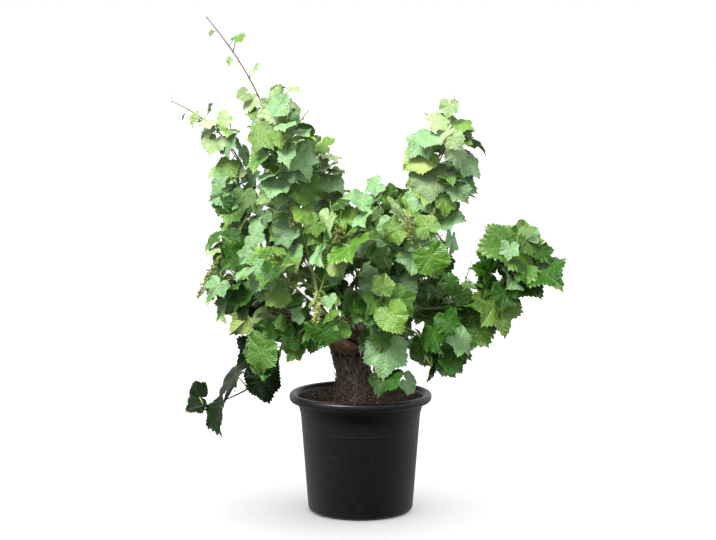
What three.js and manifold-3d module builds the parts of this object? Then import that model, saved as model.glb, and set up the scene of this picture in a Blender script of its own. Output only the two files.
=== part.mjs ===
// A grapevine (Vitis vinifera) grown as a low bush in a round nursery pot.
// Millimetres, +Z up. The vine's front faces -Y and its right side +X, and the origin is the
// centre of the pot's underside. Every size that drives the shape is named in the first block.
import * as THREE from "three";
import Module from "manifold-3d";

const wasm = await Module();
wasm.setup();
const { Manifold, Mesh } = wasm;

const GAP = 0.3; // clearance between neighbouring solids
const GROWN = 0.36; // how far a limb is grown before it is cut from its neighbour
const TIDY = 0.2; // slivers left by a join that are smaller than this are merged away

// ---- pot and soil ----------------------------------------------------------------------------
const POT = {
  baseR: 147, // outer radius at the foot
  footRound: 9,
  stepZ: 286, // the wall steps out here, below the rim
  stepLowR: 169,
  stepHighR: 175,
  rimLowZ: 311,
  rimR: 200,
  rimZ: 336,
  lip: 12, // width of the rolled rim's top
  wall: 3.5,
  floor: 5,
  sides: 32,
};
const SOIL = { topZ: 318, rough: 5, flatR: 96, sides: 32 };

// ---- trunk and arms --------------------------------------------------------------------------
const FOOT = [-14, 0, SOIL.topZ + GAP];
const NECK = [-24, 0, 413];
const HEAD = [-42, 0, 500];
const TRUNK = { flareR: 68, neckR: 46, headR: 50, crown: 52, sides: 20, gnarl: 0.06, roots: 5 };
const BURR = { at: [-50, -34, 477], half: [52, 30, 24], tilt: 26 }; // the slanting knuckle
const ARM = { baseR: 24, tipR: 11, sides: 9, bow: 14, steps: 7 };
const SPUR = 24; // spacing of the shoots along an arm, counted back from its tip
const ARMS = {
  left: [-270, -10, 612],
  right: [116, 0, 582],
  front: [-120, -120, 600],
  back: [-30, 130, 608],
  middle: [24, 22, 650],
};

// ---- shoots, twigs and leaves ----------------------------------------------------------------
// A five-lobed blade: degrees from the midrib, and reach as a share of the midrib's length.
const LOBES = [[0, 1], [30, 0.72], [57, 0.88], [121, 0.78], [180, 0.14]];
const LEAF = {
  thick: 5, stalkR: 1.8, sunk: 6, tries: 14, crowd: 0.26, apart: 3, clear: 7,
  vary: 0.8, // how far a blade turns from facing the light
};
const TWIG = { reach: 120, share: 0.6, r0: 2.8, r1: 1.6, step: 38, start: 20 };
const STEM = { r0: 5, r1: 1.8, segments: 20, step: 52, bare: 0.06, fade: 0.72, pull: 0.36 };
const SPACE = { margin: 5, reach: 240, pot: 12 };

// Each shoot is one mass of foliage. It leaves its arm's spur and ends at tip. leave and arrive
// are [heading, pitch] in degrees there, leaf is the midrib of a grown leaf, and leaves shrink
// from fade, a share of the shoot's length, to the tip. step is the spacing of its leaves, and
// pairs: false leaves out the second leaf at each joint. clusters are the flower clusters:
// [share along the shoot, distance out, length, radius, sideways lean].
const SHOOTS = {
  tall_left: {
    arm: "left", spur: 2, tip: [-424, -20, 1383], leave: [65, 80], arrive: [185, 50],
    pull: 0.42, leaf: 100, fade: 0.45, seed: 49,
  },
  far_left: {
    arm: "left", spur: 0, tip: [-529, 0, 1153], leave: [150, 88], arrive: [178, 22],
    pull: 0.42, leaf: 105, fade: 0.5, seed: 105,
  },
  side_left: {
    arm: "left", spur: 1, tip: [-385, -130, 760], leave: [-130, 20], arrive: [150, 70],
    leaf: 100, seed: 105, clusters: [[0.85, 24, 130, 13, -0.55]],
  },
  low_left: {
    arm: "left", spur: 3, tip: [-480, -70, 300], leave: [-90, -85], arrive: [180, -10],
    pull: 0.45, leaf: 98, fade: 0.85, twigs: 0, step: 66, pairs: false, seed: 90,
  },
  low_back_left: {
    arm: "left", spur: 4, tip: [-280, 210, 480], leave: [90, 0], arrive: [100, -60],
    leaf: 100, seed: 40,
  },
  inner_left: {
    arm: "front", spur: 1, tip: [-210, -130, 1185], leave: [170, 80], arrive: [60, 80],
    leaf: 98, fade: 0.8, seed: 59, clusters: [[0.47, 34, 70, 13, 0]],
  },
  front_middle: {
    arm: "front", spur: 0, tip: [-50, -240, 870], leave: [-60, 60], arrive: [-60, 70],
    leaf: 105, seed: 93, clusters: [[0.8, 42, 52, 22, 0]],
  },
  low_front: {
    arm: "front", spur: 2, tip: [-240, -190, 420], leave: [-150, -10], arrive: [-120, -75],
    leaf: 100, seed: 106,
  },
  middle_left: {
    arm: "front", spur: 3, tip: [-250, -240, 760], leave: [-170, 50], arrive: [200, 60],
    leaf: 105, seed: 39,
  },
  front_hanging: {
    arm: "front", spur: 4, tip: [70, -230, 590], leave: [-40, 40], arrive: [-40, -60],
    leaf: 98, fade: 0.9, step: 40, seed: 10,
  },
  front_screen: {
    arm: "front", spur: 5, tip: [-115, -240, 535], leave: [-115, 75], arrive: [-85, -85],
    pull: 0.65, leaf: 84, fade: 0.9, step: 30, seed: 46, clusters: [[0.5, 62, 122, 18, 0.04]],
  },
  middle_low: {
    arm: "middle", spur: 3, tip: [-140, 60, 700], leave: [170, 25], arrive: [150, 40],
    leaf: 84, fade: 0.9, step: 34, seed: 104,
  },
  upper_middle: {
    arm: "middle", spur: 1, tip: [-150, -20, 1005], leave: [200, 65], arrive: [150, 80],
    leaf: 90, seed: 87,
  },
  crown_middle: {
    arm: "middle", spur: 0, tip: [50, 60, 885], leave: [60, 75], arrive: [60, 60],
    leaf: 95, seed: 15,
  },
  tall_right: {
    arm: "right", spur: 1, tip: [256, -20, 1155], leave: [10, 70], arrive: [0, 75],
    leaf: 108, seed: 21,
  },
  far_right: {
    arm: "right", spur: 0, tip: [490, -60, 765], leave: [-12, -14], arrive: [-5, 55],
    leaf: 118, fade: 0.82, seed: 9,
  },
  inner_right: {
    arm: "right", spur: 3, tip: [135, -150, 880], leave: [-100, 50], arrive: [60, 70],
    leaf: 105, seed: 11, clusters: [[0.86, 44, 78, 17, 0]],
  },
  low_right: {
    arm: "right", spur: 2, tip: [225, -190, 430], leave: [-50, -20], arrive: [-70, -70],
    leaf: 102, seed: 105,
  },
  low_middle: {
    arm: "right", spur: 4, tip: [90, -180, 430], leave: [-90, -10], arrive: [-90, -75],
    leaf: 95, seed: 60,
  },
  right_back: {
    arm: "right", spur: 5, tip: [240, 190, 680], leave: [70, 30], arrive: [30, 60],
    leaf: 100, seed: 44,
  },
  back_left_tall: {
    arm: "back", spur: 1, tip: [-190, 130, 1060], leave: [170, 60], arrive: [120, 75],
    leaf: 95, fade: 0.85, seed: 78,
  },
  back_left: {
    arm: "back", spur: 2, tip: [-260, 230, 860], leave: [150, 30], arrive: [140, 60],
    leaf: 105, seed: 21,
  },
  back_right: {
    arm: "back", spur: 0, tip: [150, 250, 850], leave: [60, 50], arrive: [60, 60],
    leaf: 105, seed: 15,
  },
  low_back: {
    arm: "back", spur: 3, tip: [60, 300, 420], leave: [60, 0], arrive: [90, -70],
    leaf: 108, seed: 60,
  },
};

// ==== small tools =============================================================================
const TURN = 2 * Math.PI;
const UP = new THREE.Vector3(0, 0, 1);
const vec = (a) => new THREE.Vector3(...a);
const rad = (degrees) => (degrees * Math.PI) / 180;
const clamp = (x, low, high) => Math.max(low, Math.min(high, x));

// A weighted sum of vectors: sum(a, 2, b, 0.5) is 2a + 0.5b. unit is the same at length 1.
function sum(...terms) {
  const out = new THREE.Vector3();
  for (let i = 0; i < terms.length; i += 2) out.addScaledVector(terms[i], terms[i + 1]);
  return out;
}
const unit = (...terms) => sum(...terms).normalize();
const cross = (a, b) => new THREE.Vector3().crossVectors(a, b);

// The seeded draw behind every twig and leaf: a number from 0 to 1 fixed by its three arguments.
function chance(seed, item, draw) {
  const s = Math.sin(seed * 12.9898 + item * 78.233 + draw * 37.719) * 43758.5453;
  return s - Math.floor(s);
}
const spread = (seed, item, draw) => 2 * chance(seed, item, draw) - 1;

function heading([turn, pitch]) {
  const flat = Math.cos(rad(pitch));
  return new THREE.Vector3(
    flat * Math.cos(rad(turn)), flat * Math.sin(rad(turn)), Math.sin(rad(pitch)));
}

// A manifold solid from three.js vectors and triangles of their indices.
function solid(points, triangles) {
  return new Manifold(new Mesh({
    numProp: 3,
    vertProperties: new Float32Array(points.flatMap((p) => [p.x, p.y, p.z])),
    triVerts: new Uint32Array(triangles.flat()),
  }));
}

// Rings of points, each one `sides` long and in the same sense, skinned and capped at both ends.
function skin(rings) {
  const sides = rings[0].length, triangles = [];
  for (let i = 0; i + 1 < rings.length; i++)
    for (let k = 0; k < sides; k++) {
      const a = i * sides + k, b = i * sides + ((k + 1) % sides);
      triangles.push([a, b, b + sides], [a, b + sides, a + sides]);
    }
  const last = (rings.length - 1) * sides;
  for (let k = 1; k + 1 < sides; k++)
    triangles.push([0, k + 1, k], [last, last + k, last + k + 1]);
  return solid(rings.flat(), triangles);
}

// A tube along a line of points. radius(share along, angle) gives its half width.
function tube(line, radius, sides) {
  let across = Math.abs(unit(line[1], 1, line[0], -1).z) > 0.9 ? new THREE.Vector3(1, 0, 0) : UP;
  const rings = line.map((p, i) => {
    const along = unit(
      line[Math.min(i + 1, line.length - 1)], 1, line[Math.max(i - 1, 0)], -1);
    across = unit(across, 1, along, -across.dot(along));
    const over = cross(along, across);
    return Array.from({ length: sides }, (_, k) => {
      const a = (TURN * k) / sides, r = radius(i / (line.length - 1), a);
      return sum(p, 1, across, r * Math.cos(a), over, r * Math.sin(a));
    });
  });
  return skin(rings);
}

// ==== pot and soil ============================================================================
function potSolid() {
  const { baseR, footRound: f, stepZ, stepLowR, stepHighR, rimLowZ, rimR, rimZ, lip } = POT;
  const inside = (r) => r - POT.wall;
  const profile = [
    [0, 0], [baseR - f, 0], [baseR - 0.3 * f, 0.3 * f], [baseR + 0.4, f],
    [stepLowR, stepZ], [stepHighR - 0.5, stepZ + 6], [stepHighR, rimLowZ],
    [rimR - 6, rimLowZ + 1], [rimR, rimLowZ + 8], [rimR, rimZ - 6], [rimR - 5, rimZ],
    [rimR - lip, rimZ], [inside(stepHighR) + 5, rimZ - 7], [inside(stepHighR), rimLowZ],
    [inside(stepLowR), stepZ], [inside(baseR) - 1, f + POT.floor], [inside(baseR) - f, POT.floor],
    [0, POT.floor],
  ];
  return turned(profile, POT.sides);
}

// A closed solid of revolution about Z from an outline that starts and ends on the axis.
function turned(profile, sides) {
  const points = [], triangles = [], n = profile.length - 2;
  points.push(vec([0, 0, profile[0][1]]), vec([0, 0, profile[n + 1][1]]));
  for (let k = 0; k < sides; k++)
    for (const [r, z] of profile.slice(1, -1)) {
      const a = (TURN * k) / sides;
      points.push(vec([r * Math.cos(a), r * Math.sin(a), z]));
    }
  for (let k = 0; k < sides; k++) {
    const a = 2 + k * n, b = 2 + ((k + 1) % sides) * n;
    triangles.push([0, b, a], [1, a + n - 1, b + n - 1]);
    for (let i = 0; i + 1 < n; i++)
      triangles.push([a + i, b + i, b + i + 1], [a + i, b + i + 1, a + i + 1]);
  }
  return solid(points, triangles);
}

// The soil fills the pot to a little below the rim. Its top is flat under the trunk and uneven
// round it, and it sinks a little where it meets the wall.
function soilSolid() {
  const { topZ, rough, flatR, sides } = SOIL;
  const wallR = (z) => {
    const t = clamp((z - POT.footRound) / (POT.stepZ - POT.footRound), 0, 1);
    const outer = POT.baseR + (POT.stepLowR - POT.baseR) * t;
    const step = clamp((z - POT.stepZ) / (POT.rimLowZ - POT.stepZ), 0, 1);
    return outer + (POT.stepHighR - POT.stepLowR) * step - POT.wall;
  };
  const floorZ = POT.floor + GAP, edgeZ = topZ - rough - 2;
  const clear = (z) => wallR(z) * Math.cos(Math.PI / POT.sides) - 1.2;
  const radii = [0.62, 0.78, 0.92].map((s) => s * clear(edgeZ));
  const ring = (r, z) => Array.from({ length: sides }, (_, k) => {
    const a = (TURN * k) / sides;
    return vec([r * Math.cos(a), r * Math.sin(a), z(a)]);
  });
  const uneven = (i) => (a) =>
    topZ - rough * (0.5 + 0.32 * Math.sin(3 * a + 1.7 * i) + 0.18 * Math.sin(7 * a - i));
  return skin([
    ring(POT.baseR - POT.wall - POT.footRound - 3, () => floorZ),
    ring(clear(30) - 4, () => 30),
    ring(clear(POT.stepZ) - 1, () => POT.stepZ),
    ring(clear(edgeZ), () => edgeZ),
    ring(radii[2], uneven(1)),
    ring(radii[1], uneven(2)),
    ring(Math.min(flatR, radii[0]), () => topZ),
  ]);
}

// ==== trunk and arms ==========================================================================
// The trunk leans left from its foot through the neck to a knuckled head. grown widens it all
// round, for cutting its neighbours clear.
function trunkSolid(grown = 0) {
  const [foot, neck, head] = [FOOT, NECK, HEAD].map(vec);
  const height = head.z - foot.z, topH = height + TRUNK.crown;
  const centreX = (h) => {
    const t = h / (neck.z - foot.z), u = (h - (neck.z - foot.z)) / (head.z - neck.z);
    return t < 1 ? foot.x + (neck.x - foot.x) * t : neck.x + (head.x - neck.x) * Math.min(u, 1);
  };
  const steps = [0, 8, 20, 36, 56, 78, 100, 122, 144, 166, 186, 204, 219, 229];
  const rings = steps.map((h, i) => {
    const last = i === steps.length - 1, end = last ? grown : i === 0 ? -grown : 0;
    const swell = TRUNK.neckR + (TRUNK.flareR - TRUNK.neckR) * Math.exp(-h / 30)
      + (TRUNK.headR - TRUNK.neckR) * Math.exp(-(((h - 165) / 48) ** 2));
    const close = h > 176 ? Math.sqrt(Math.max(0, 1 - ((h - 176) / (topH - 176)) ** 2)) : 1;
    return Array.from({ length: TRUNK.sides }, (_, k) => {
      const a = (TURN * k) / TRUNK.sides;
      const ridge = 1 + TRUNK.gnarl * Math.sin(3 * a + h / 34)
        + 0.5 * TRUNK.gnarl * Math.sin(7 * a - h / 21);
      const root = 1 + 0.12 * Math.cos(TRUNK.roots * a + 0.6) * Math.exp(-h / 30)
        + 0.1 * Math.cos(a + 0.5) * Math.exp(-h / 42);
      const r = swell * close * ridge * root + (last ? 0 : grown);
      return vec([centreX(h) + r * Math.cos(a), r * Math.sin(a), foot.z + h + end]);
    });
  });
  const half = BURR.half.map((v) => v + grown);
  const burr = new THREE.IcosahedronGeometry(1, 1);
  burr.applyMatrix4(new THREE.Matrix4()
    .makeRotationY(rad(BURR.tilt))
    .multiply(new THREE.Matrix4().makeScale(...half))
    .setPosition(...BURR.at));
  return Manifold.union([skin(rings), soup(burr)]);
}

// The solid of a three.js geometry whose faces don't share vertices.
function soup(geometry) {
  const p = geometry.getAttribute("position"), found = new Map(), points = [], triangles = [];
  for (let i = 0; i < p.count; i++) {
    const v = new THREE.Vector3().fromBufferAttribute(p, i);
    const key = v.toArray().map((x) => x.toFixed(3)).join();
    if (!found.has(key)) found.set(key, points.push(v) - 1);
    if (i % 3 === 0) triangles.push([]);
    triangles[triangles.length - 1].push(found.get(key));
  }
  return solid(points, triangles);
}

// A point on an arm's axis, from the head at 0 to the tip at 1. The arm sags a little.
const armPoint = (arm, s) =>
  sum(vec(HEAD), 1 - s, vec(ARMS[arm]), s, UP, -ARM.bow * 4 * s * (1 - s));

function armSolid(arm, grown = 0) {
  const line = Array.from({ length: ARM.steps + 1 }, (_, i) => armPoint(arm, i / ARM.steps));
  if (grown) line.push(sum(line.at(-1), 1, unit(line.at(-1), 1, line.at(-2), -1), grown));
  const phase = Object.keys(ARMS).indexOf(arm);
  return tube(line, (s, a) => {
    const knot = 1 + 0.08 * Math.sin(9 * s + 2 * a + phase) + 0.05 * Math.sin(3 * a - 14 * s);
    return (ARM.baseR + (ARM.tipR - ARM.baseR) * s) * knot + grown;
  }, ARM.sides);
}

// ==== the rule that grows the foliage =========================================================
// A shoot's stem is one smooth curve from its spur to its tip.
function stemLine({ arm, spur, tip, leave, arrive, pull = STEM.pull }) {
  const length = vec(ARMS[arm]).distanceTo(vec(HEAD));
  const start = armPoint(arm, 1 - (SPUR * spur) / length), end = vec(tip);
  const reach = pull * start.distanceTo(end);
  const curve = new THREE.CubicBezierCurve3(
    start, sum(start, 1, heading(leave), reach), sum(end, 1, heading(arrive), -reach), end);
  return curve.getPoints(STEM.segments);
}
const LINES = Object.fromEntries(Object.entries(SHOOTS).map(([k, s]) => [k, stemLine(s)]));

function lengthsOf(line) {
  const out = [0];
  for (let i = 1; i < line.length; i++) out.push(out[i - 1] + line[i].distanceTo(line[i - 1]));
  return out;
}
function pointAt(line, lengths, at) {
  const want = clamp(at, 0, lengths.at(-1));
  let i = 1;
  while (i < line.length - 1 && lengths[i] < want) i++;
  const t = (want - lengths[i - 1]) / (lengths[i] - lengths[i - 1]);
  return sum(line[i - 1], 1 - t, line[i], t);
}

// Where the light comes from at a point of the crown: outwards, to the nearer of the front and
// the back, and up. Leaves turn their upper faces to it.
const HEART = vec([-20, 20, 560]);
function lightAt(p) {
  const out = sum(p, 1, HEART, -1).multiply(new THREE.Vector3(1, 1, 0.3));
  const face = clamp((p.y - 60) / 60, -1, 1);
  return unit(out.normalize(), 0.55, new THREE.Vector3(0, 0.65 * face, 0.55), 1);
}

// A mass keeps to the space nearer its own stem than any other stem, clear of pot and wood.
const WOOD = [];
for (let i = 0; i <= 6; i++)
  WOOD.push([sum(vec(FOOT), 1 - i / 6, vec(HEAD), i / 6), 78 - 3 * i]);
for (const arm of Object.keys(ARMS))
  for (let i = 0; i <= 6; i++) WOOD.push([armPoint(arm, i / 6), 40 - (16 * i) / 6]);

const nearest = (p, line) => Math.min(...line.map((q) => p.distanceTo(q)));
function inSpace(name, points) {
  return points.every((p) => {
    const own = nearest(p, LINES[name]);
    return own <= SPACE.reach && Object.entries(LINES).every(
      ([other, line]) => other === name || nearest(p, line) > own + SPACE.margin);
  });
}
const clearOfPot = (points) => !points.some(
  (p) => Math.hypot(p.x, p.y) < POT.rimR + SPACE.pot && p.z < POT.rimZ + 10);
const clearOfWood = (points) => points.every(
  (p) => WOOD.every(([centre, r]) => p.distanceTo(centre) > r));

const OUTLINE = [...LOBES, ...LOBES.slice(1, -1).reverse().map(([a, r]) => [-a, r])]
  .map(([a, r]) => [r * Math.cos(rad(a)), r * Math.sin(rad(a))]);

// A leaf's own frame: along its midrib, across it, and out of its upper face.
function leafFrame(midrib, normal) {
  const n = unit(normal, 1), d = unit(midrib, 1, n, -n.dot(midrib));
  return [d, cross(n, d), n];
}
// Two blades cross when each has points on both sides of the other's face, near its middle.
function pierces(a, b) {
  const [d, s, n] = b.frame;
  const heights = a.checked.map((p) => {
    const q = sum(p, 1, b.base, -1), x = q.dot(d) / b.size, y = q.dot(s) / b.size;
    const near = (x - 0.3) ** 2 + y * y < 0.49;
    return near ? q.dot(n) + b.size * b.cup * (x * x + y * y) : null;
  }).filter((h) => h !== null);
  return heights.some((h) => h < LEAF.apart) && heights.some((h) => h > -LEAF.apart);
}
const crosses = (a, b) => a.centre.distanceTo(b.centre) <= 0.75 * (a.size + b.size)
  && pierces(a, b) && pierces(b, a);

// A stem or stalk from p to q cuts a blade when, where it comes nearest the blade's face, it is
// over the blade's middle and closer than LEAF.clear.
function cuts(leaf, p, q) {
  const [d, s, n] = leaf.frame;
  const seen = (v) => {
    const w = sum(v, 1, leaf.base, -1), x = w.dot(d) / leaf.size, y = w.dot(s) / leaf.size;
    return [w.dot(n) + leaf.size * leaf.cup * Math.min(1, x * x + y * y), x, y];
  };
  const from = seen(p), to = seen(q), fall = from[0] - to[0];
  const t = clamp(from[0] / (Math.abs(fall) < 1e-9 ? 1e-9 : fall), 0, 1);
  const [h, x, y] = from.map((v, i) => v + (to[i] - v) * t);
  return Math.abs(h) < LEAF.clear && (x - 0.3) ** 2 + y * y < 0.55;
}

const rimOf = ({ base, frame: [d, s, n], size, cup }) => OUTLINE.map(([x, y]) =>
  sum(base, 1, d, size * x, s, size * y, n, -size * cup * (x * x + y * y)));

// Grows one shoot: leaves on alternate sides at even spacing, a second one opposite on the
// older wood, and short twigs with leaves of their own. Each leaf has a few tries at a place
// inside the mass's space, and is skipped when none fits.
function grow(name) {
  const shoot = {
    twigs: TWIG.share, fade: STEM.fade, step: STEM.step, pairs: true, clusters: [],
    ...SHOOTS[name],
  };
  const { seed, fade } = shoot, stem = LINES[name];
  const leaves = [], twigs = [], clusters = [], taken = [];
  let item = 0;

  const fits = (points) => clearOfPot(points) && clearOfWood(points) && inSpace(name, points);

  function leafOn(p, along, side, hand, light, grownSize) {
    const it = item++;
    for (let a = 0; a < LEAF.tries; a++) {
      const c = (k) => chance(seed, it, a * 16 + k), w = (k) => spread(seed, it, a * 16 + k);
      const size = grownSize * (0.84 + 0.28 * c(1)) * (a < 5 ? 1 : 0.8);
      const stalk = unit(side, hand * (0.75 + 0.3 * w(2)), light, 0.45 + 0.45 * w(3),
        along, 0.25 + 0.35 * w(4));
      const reach = size * (0.5 + 0.25 * c(5));
      const base = sum(p, 1, stalk, reach, UP, -0.1 * reach);
      const normal = sum(light, 1, new THREE.Vector3(w(6), w(7), 0.6 * w(8)), LEAF.vary);
      const midrib = sum(stalk, 0.8, UP, -0.7, side, 0.3 * w(9));
      const leaf = { node: p, base, size, frame: leafFrame(midrib, normal), cup: 0.08 + 0.12 * c(10) };
      const rim = rimOf(leaf);
      leaf.checked = [...rim, base, ...rim.map((q) => sum(q, 0.5, base, 0.5))];
      leaf.centre = sum(base, 1, leaf.frame[0], 0.35 * size);
      const crowded = (q) => leaf.centre.distanceTo(q.centre) < LEAF.crowd * (size + q.size);
      if (!fits(leaf.checked) || taken.some(crowded)) continue;
      if ([stem, ...twigs].some((line) => line.some((q, i) => i && cuts(leaf, line[i - 1], q))))
        continue;
      if (leaves.some((other) => crosses(leaf, other) || cuts(leaf, other.node, other.base)
        || cuts(other, p, base))) continue;
      leaves.push(leaf);
      return;
    }
  }

  function leavesAlong(line, size, start, step, onStem) {
    const lengths = lengthsOf(line), total = lengths.at(-1);
    for (let k = 0; start + (k + 0.5) * step <= total; k++) {
      const at = start + (k + 0.5) * step, t = at / total, p = pointAt(line, lengths, at);
      const along = unit(
        pointAt(line, lengths, at + 5), 1, pointAt(line, lengths, at - 5), -1);
      const light = lightAt(p), hand = k % 2 ? 1 : -1;
      const side = unit(cross(along, light), 1, new THREE.Vector3(0.02, 0, 0), 1);
      const young = Math.max(0, (t - fade) / (1 - fade));
      const here = size * (onStem ? 1 - 0.8 * young ** 0.7 : 1 - 0.45 * t);
      leafOn(p, along, side, hand, light, here);
      if (!onStem) continue;
      if (shoot.pairs && t < fade + 0.05) leafOn(p, along, side, -hand, light, 0.85 * here);
      if (t < fade) twigOn(p, along, side, light, here);
    }
  }

  function twigOn(p, along, side, light, size) {
    const it = item++;
    if (chance(seed, it, 1) >= shoot.twigs) return;
    const reach = TWIG.reach * (0.75 + 0.5 * chance(seed, it, 2));
    const turn = TURN * chance(seed, it, 3), over = unit(cross(side, along), 1);
    const out = unit(side, 0.8 * Math.cos(turn), over, 0.8 * Math.sin(turn),
      along, 0.45, light, 0.35);
    const line = [0, 0.25, 0.5, 0.75, 1].map((u) =>
      sum(p, 1, out, reach * u, UP, 0.15 * reach * u * u));
    if (!inSpace(name, line) || !clearOfPot(line) || !clearOfWood(line.slice(1))) return;
    twigs.push(line);
    leavesAlong(line, 0.9 * size, TWIG.start, TWIG.step, false);
  }

  const lengths = lengthsOf(stem), total = lengths.at(-1);
  for (const [share, out, length, radius, lean] of shoot.clusters) {
    const node = pointAt(stem, lengths, share * total);
    const top = sum(node, 1, lightAt(node), out), down = unit(new THREE.Vector3(lean, 0, -1), 1);
    clusters.push({ node, top, down, length, radius });
    for (const s of [0.1, 0.5, 0.9])
      taken.push({ centre: sum(top, 1, down, s * length), size: 0.6 * length });
  }
  leavesAlong(stem, shoot.leaf, STEM.bare * total, shoot.step, true);
  return { leaves, twigs, clusters };
}

// ==== solids of the foliage ===================================================================
// A blade is thick where its stalk joins and thins to its edge. Its stalk is sunk into it.
function leafSolid(leaf) {
  const { node, base, frame: [d, , n] } = leaf, rim = rimOf(leaf), count = rim.length;
  const points = [...rim, sum(base, 1, n, LEAF.thick / 2), sum(base, 1, n, -LEAF.thick / 2)];
  const triangles = rim.flatMap((_, k) => {
    const next = (k + 1) % count;
    return [[k, next, count], [next, k, count + 1]];
  });
  const stalk = tube([node, sum(base, 1, d, LEAF.sunk)], () => LEAF.stalkR, 3);
  return Manifold.union([solid(points, triangles), stalk]).asOriginal().simplify(TIDY);
}

// A flower cluster is a knobbed spindle on a stalk.
function clusterSolid({ node, top, down, length, radius }) {
  const line = [0, 0.2, 0.45, 0.7, 0.9, 1].map((s) => sum(top, 1, down, s * length));
  const wide = [0.35, 1, 0.9, 0.62, 0.36, 0.12];
  const body = tube(line, (s, a) => radius * wide[Math.round(5 * s)]
    * (1 + 0.16 * Math.sin(3 * a + 9 * s)), 7);
  return Manifold.union([body, tube([node, sum(top, 1, down, 0.15 * length)], () => 2, 3)]);
}

const taper = (r0, r1) => (s) => r0 + (r1 - r0) * s;
const boxOf = (piece) => {
  const { min, max } = piece.boundingBox();
  return new THREE.Box3(vec(min), vec(max));
};
const touches = (a, b) =>
  a.box.intersectsBox(b.box) && a.piece.intersect(b.piece).volume() > 0;
const boxed = (piece) => ({ piece, box: boxOf(piece).expandByScalar(0.5) });

// ==== the whole vine ==========================================================================
const BARK = 0x4a3d31, WOODY = 0x5f4a36, GREEN = 0x5c7c42;
const group = new THREE.Group();
group.name = "grapevine";

function add(name, piece, color) {
  const made = piece.getMesh();
  const geometry = new THREE.BufferGeometry()
    .setAttribute("position", new THREE.BufferAttribute(made.vertProperties, 3))
    .setIndex(new THREE.BufferAttribute(made.triVerts, 1));
  geometry.computeVertexNormals();
  const mesh = new THREE.Mesh(geometry, new THREE.MeshStandardMaterial({ color, roughness: 0.8 }));
  mesh.name = name;
  group.add(mesh);
}

add("pot", potSolid(), 0x1f2021);
add("soil", soilSolid(), 0x3c342e);
add("trunk", trunkSolid(), BARK);

const limbs = [boxed(potSolid()), boxed(trunkSolid(GROWN))];
for (const arm of Object.keys(ARMS)) {
  let piece = armSolid(arm);
  for (const limb of limbs.slice(1)) piece = piece.subtract(limb.piece);
  add("arm_" + arm, piece, WOODY);
  limbs.push(boxed(armSolid(arm, GROWN)));
}

// Stems first, so that no leaf is laid across a neighbour's stem.
const masses = Object.keys(SHOOTS).map((name) => {
  let stem = tube(LINES[name].filter((_, i) => i % 2 === 0), taper(STEM.r0, STEM.r1), 3);
  for (const limb of limbs.slice(1)) stem = stem.subtract(limb.piece);
  return { name, stem, parts: [boxed(stem)], ...grow(name) };
});
for (const mass of masses) {
  const others = masses.filter((m) => m !== mass).flatMap((m) => m.parts);
  const near = [...limbs, ...others];
  const keep = (piece) => {
    const one = boxed(piece);
    if (!near.some((other) => touches(one, other))) mass.parts.push(one);
  };
  mass.twigs.forEach(([a, , b, , c]) => keep(tube([a, b, c], taper(TWIG.r0, TWIG.r1), 3)));
  mass.clusters.forEach((cluster) => keep(clusterSolid(cluster)));
  mass.leaves.forEach((leaf) => keep(leafSolid(leaf)));
}
for (const mass of masses) {
  const whole = Manifold.union(mass.parts.map((part) => part.piece))
    .asOriginal().simplify(TIDY);
  add("foliage_" + mass.name, whole, GREEN);
}

export default group;
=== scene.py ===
# %% [markdown]
# # A bush-trained grapevine in a nursery pot
#
# The vine stands in a round black pot: a short old trunk, five woody arms, long green shoots with
# lobed leaves, a few flower clusters and tendrils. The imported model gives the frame: pot, soil,
# trunk, arms, and one mass of foliage for each shoot. Each of them is dressed here by a finer
# piece in the same place. Lengths are millimetres in the rules and metres in Blender.

import math

import bpy
import numpy as np
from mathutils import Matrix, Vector, noise


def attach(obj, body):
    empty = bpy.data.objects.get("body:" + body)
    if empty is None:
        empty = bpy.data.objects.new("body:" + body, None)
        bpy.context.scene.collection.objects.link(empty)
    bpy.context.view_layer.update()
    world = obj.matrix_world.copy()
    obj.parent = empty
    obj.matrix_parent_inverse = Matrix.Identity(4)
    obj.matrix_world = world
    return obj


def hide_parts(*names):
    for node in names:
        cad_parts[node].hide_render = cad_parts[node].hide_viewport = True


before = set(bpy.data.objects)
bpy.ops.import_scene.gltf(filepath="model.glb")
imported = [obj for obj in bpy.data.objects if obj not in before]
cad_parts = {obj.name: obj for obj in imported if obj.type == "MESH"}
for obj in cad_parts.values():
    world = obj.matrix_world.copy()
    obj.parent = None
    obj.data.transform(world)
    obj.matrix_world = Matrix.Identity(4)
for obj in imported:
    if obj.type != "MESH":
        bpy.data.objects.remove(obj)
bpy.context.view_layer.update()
MM = 0.001

# %% [markdown]
# ## The camera
#
# The camera stands level with the crown's upper part and looks slightly down, from far enough
# away that the pot's rim is a narrow ellipse. A long lens keeps the near leaves from swelling.

# %% Camera
LENS_MM = 94.27
CAMERA_AT = (-0.007, -5.2, 1.28)
CAMERA_DOWN = math.radians(6.57)

camera = bpy.data.objects.new("camera", bpy.data.cameras.new("camera"))
camera.data.lens = LENS_MM
camera.data.sensor_width = 36.0
camera.location = CAMERA_AT
camera.rotation_euler = (math.pi / 2 - CAMERA_DOWN, 0, 0)
bpy.context.scene.collection.objects.link(camera)
bpy.context.scene.camera = camera
print("camera with a", LENS_MM, "mm lens")

# %% [markdown]
# ## Heaps of small things
#
# A vine has hundreds of leaves. Blender could scatter instances, but a joined mesh exports as it
# is seen, so every kind of thing goes into a heap: arrays of points and faces that become one
# mesh at the end. A tube skins rings along a line, and serves for stems, stalks and tendrils.

# %% Rings and directions
def unit(v):
    return v / np.linalg.norm(v, axis=-1, keepdims=True)


def circle(sides):
    """Equal angles round a circle."""
    return np.arange(sides) * 2 * math.pi / sides


def ring_of(sides):
    """The numbers of a ring's points, and of the point that follows each."""
    ring = np.arange(sides)
    return ring, np.roll(ring, -1)


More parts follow.
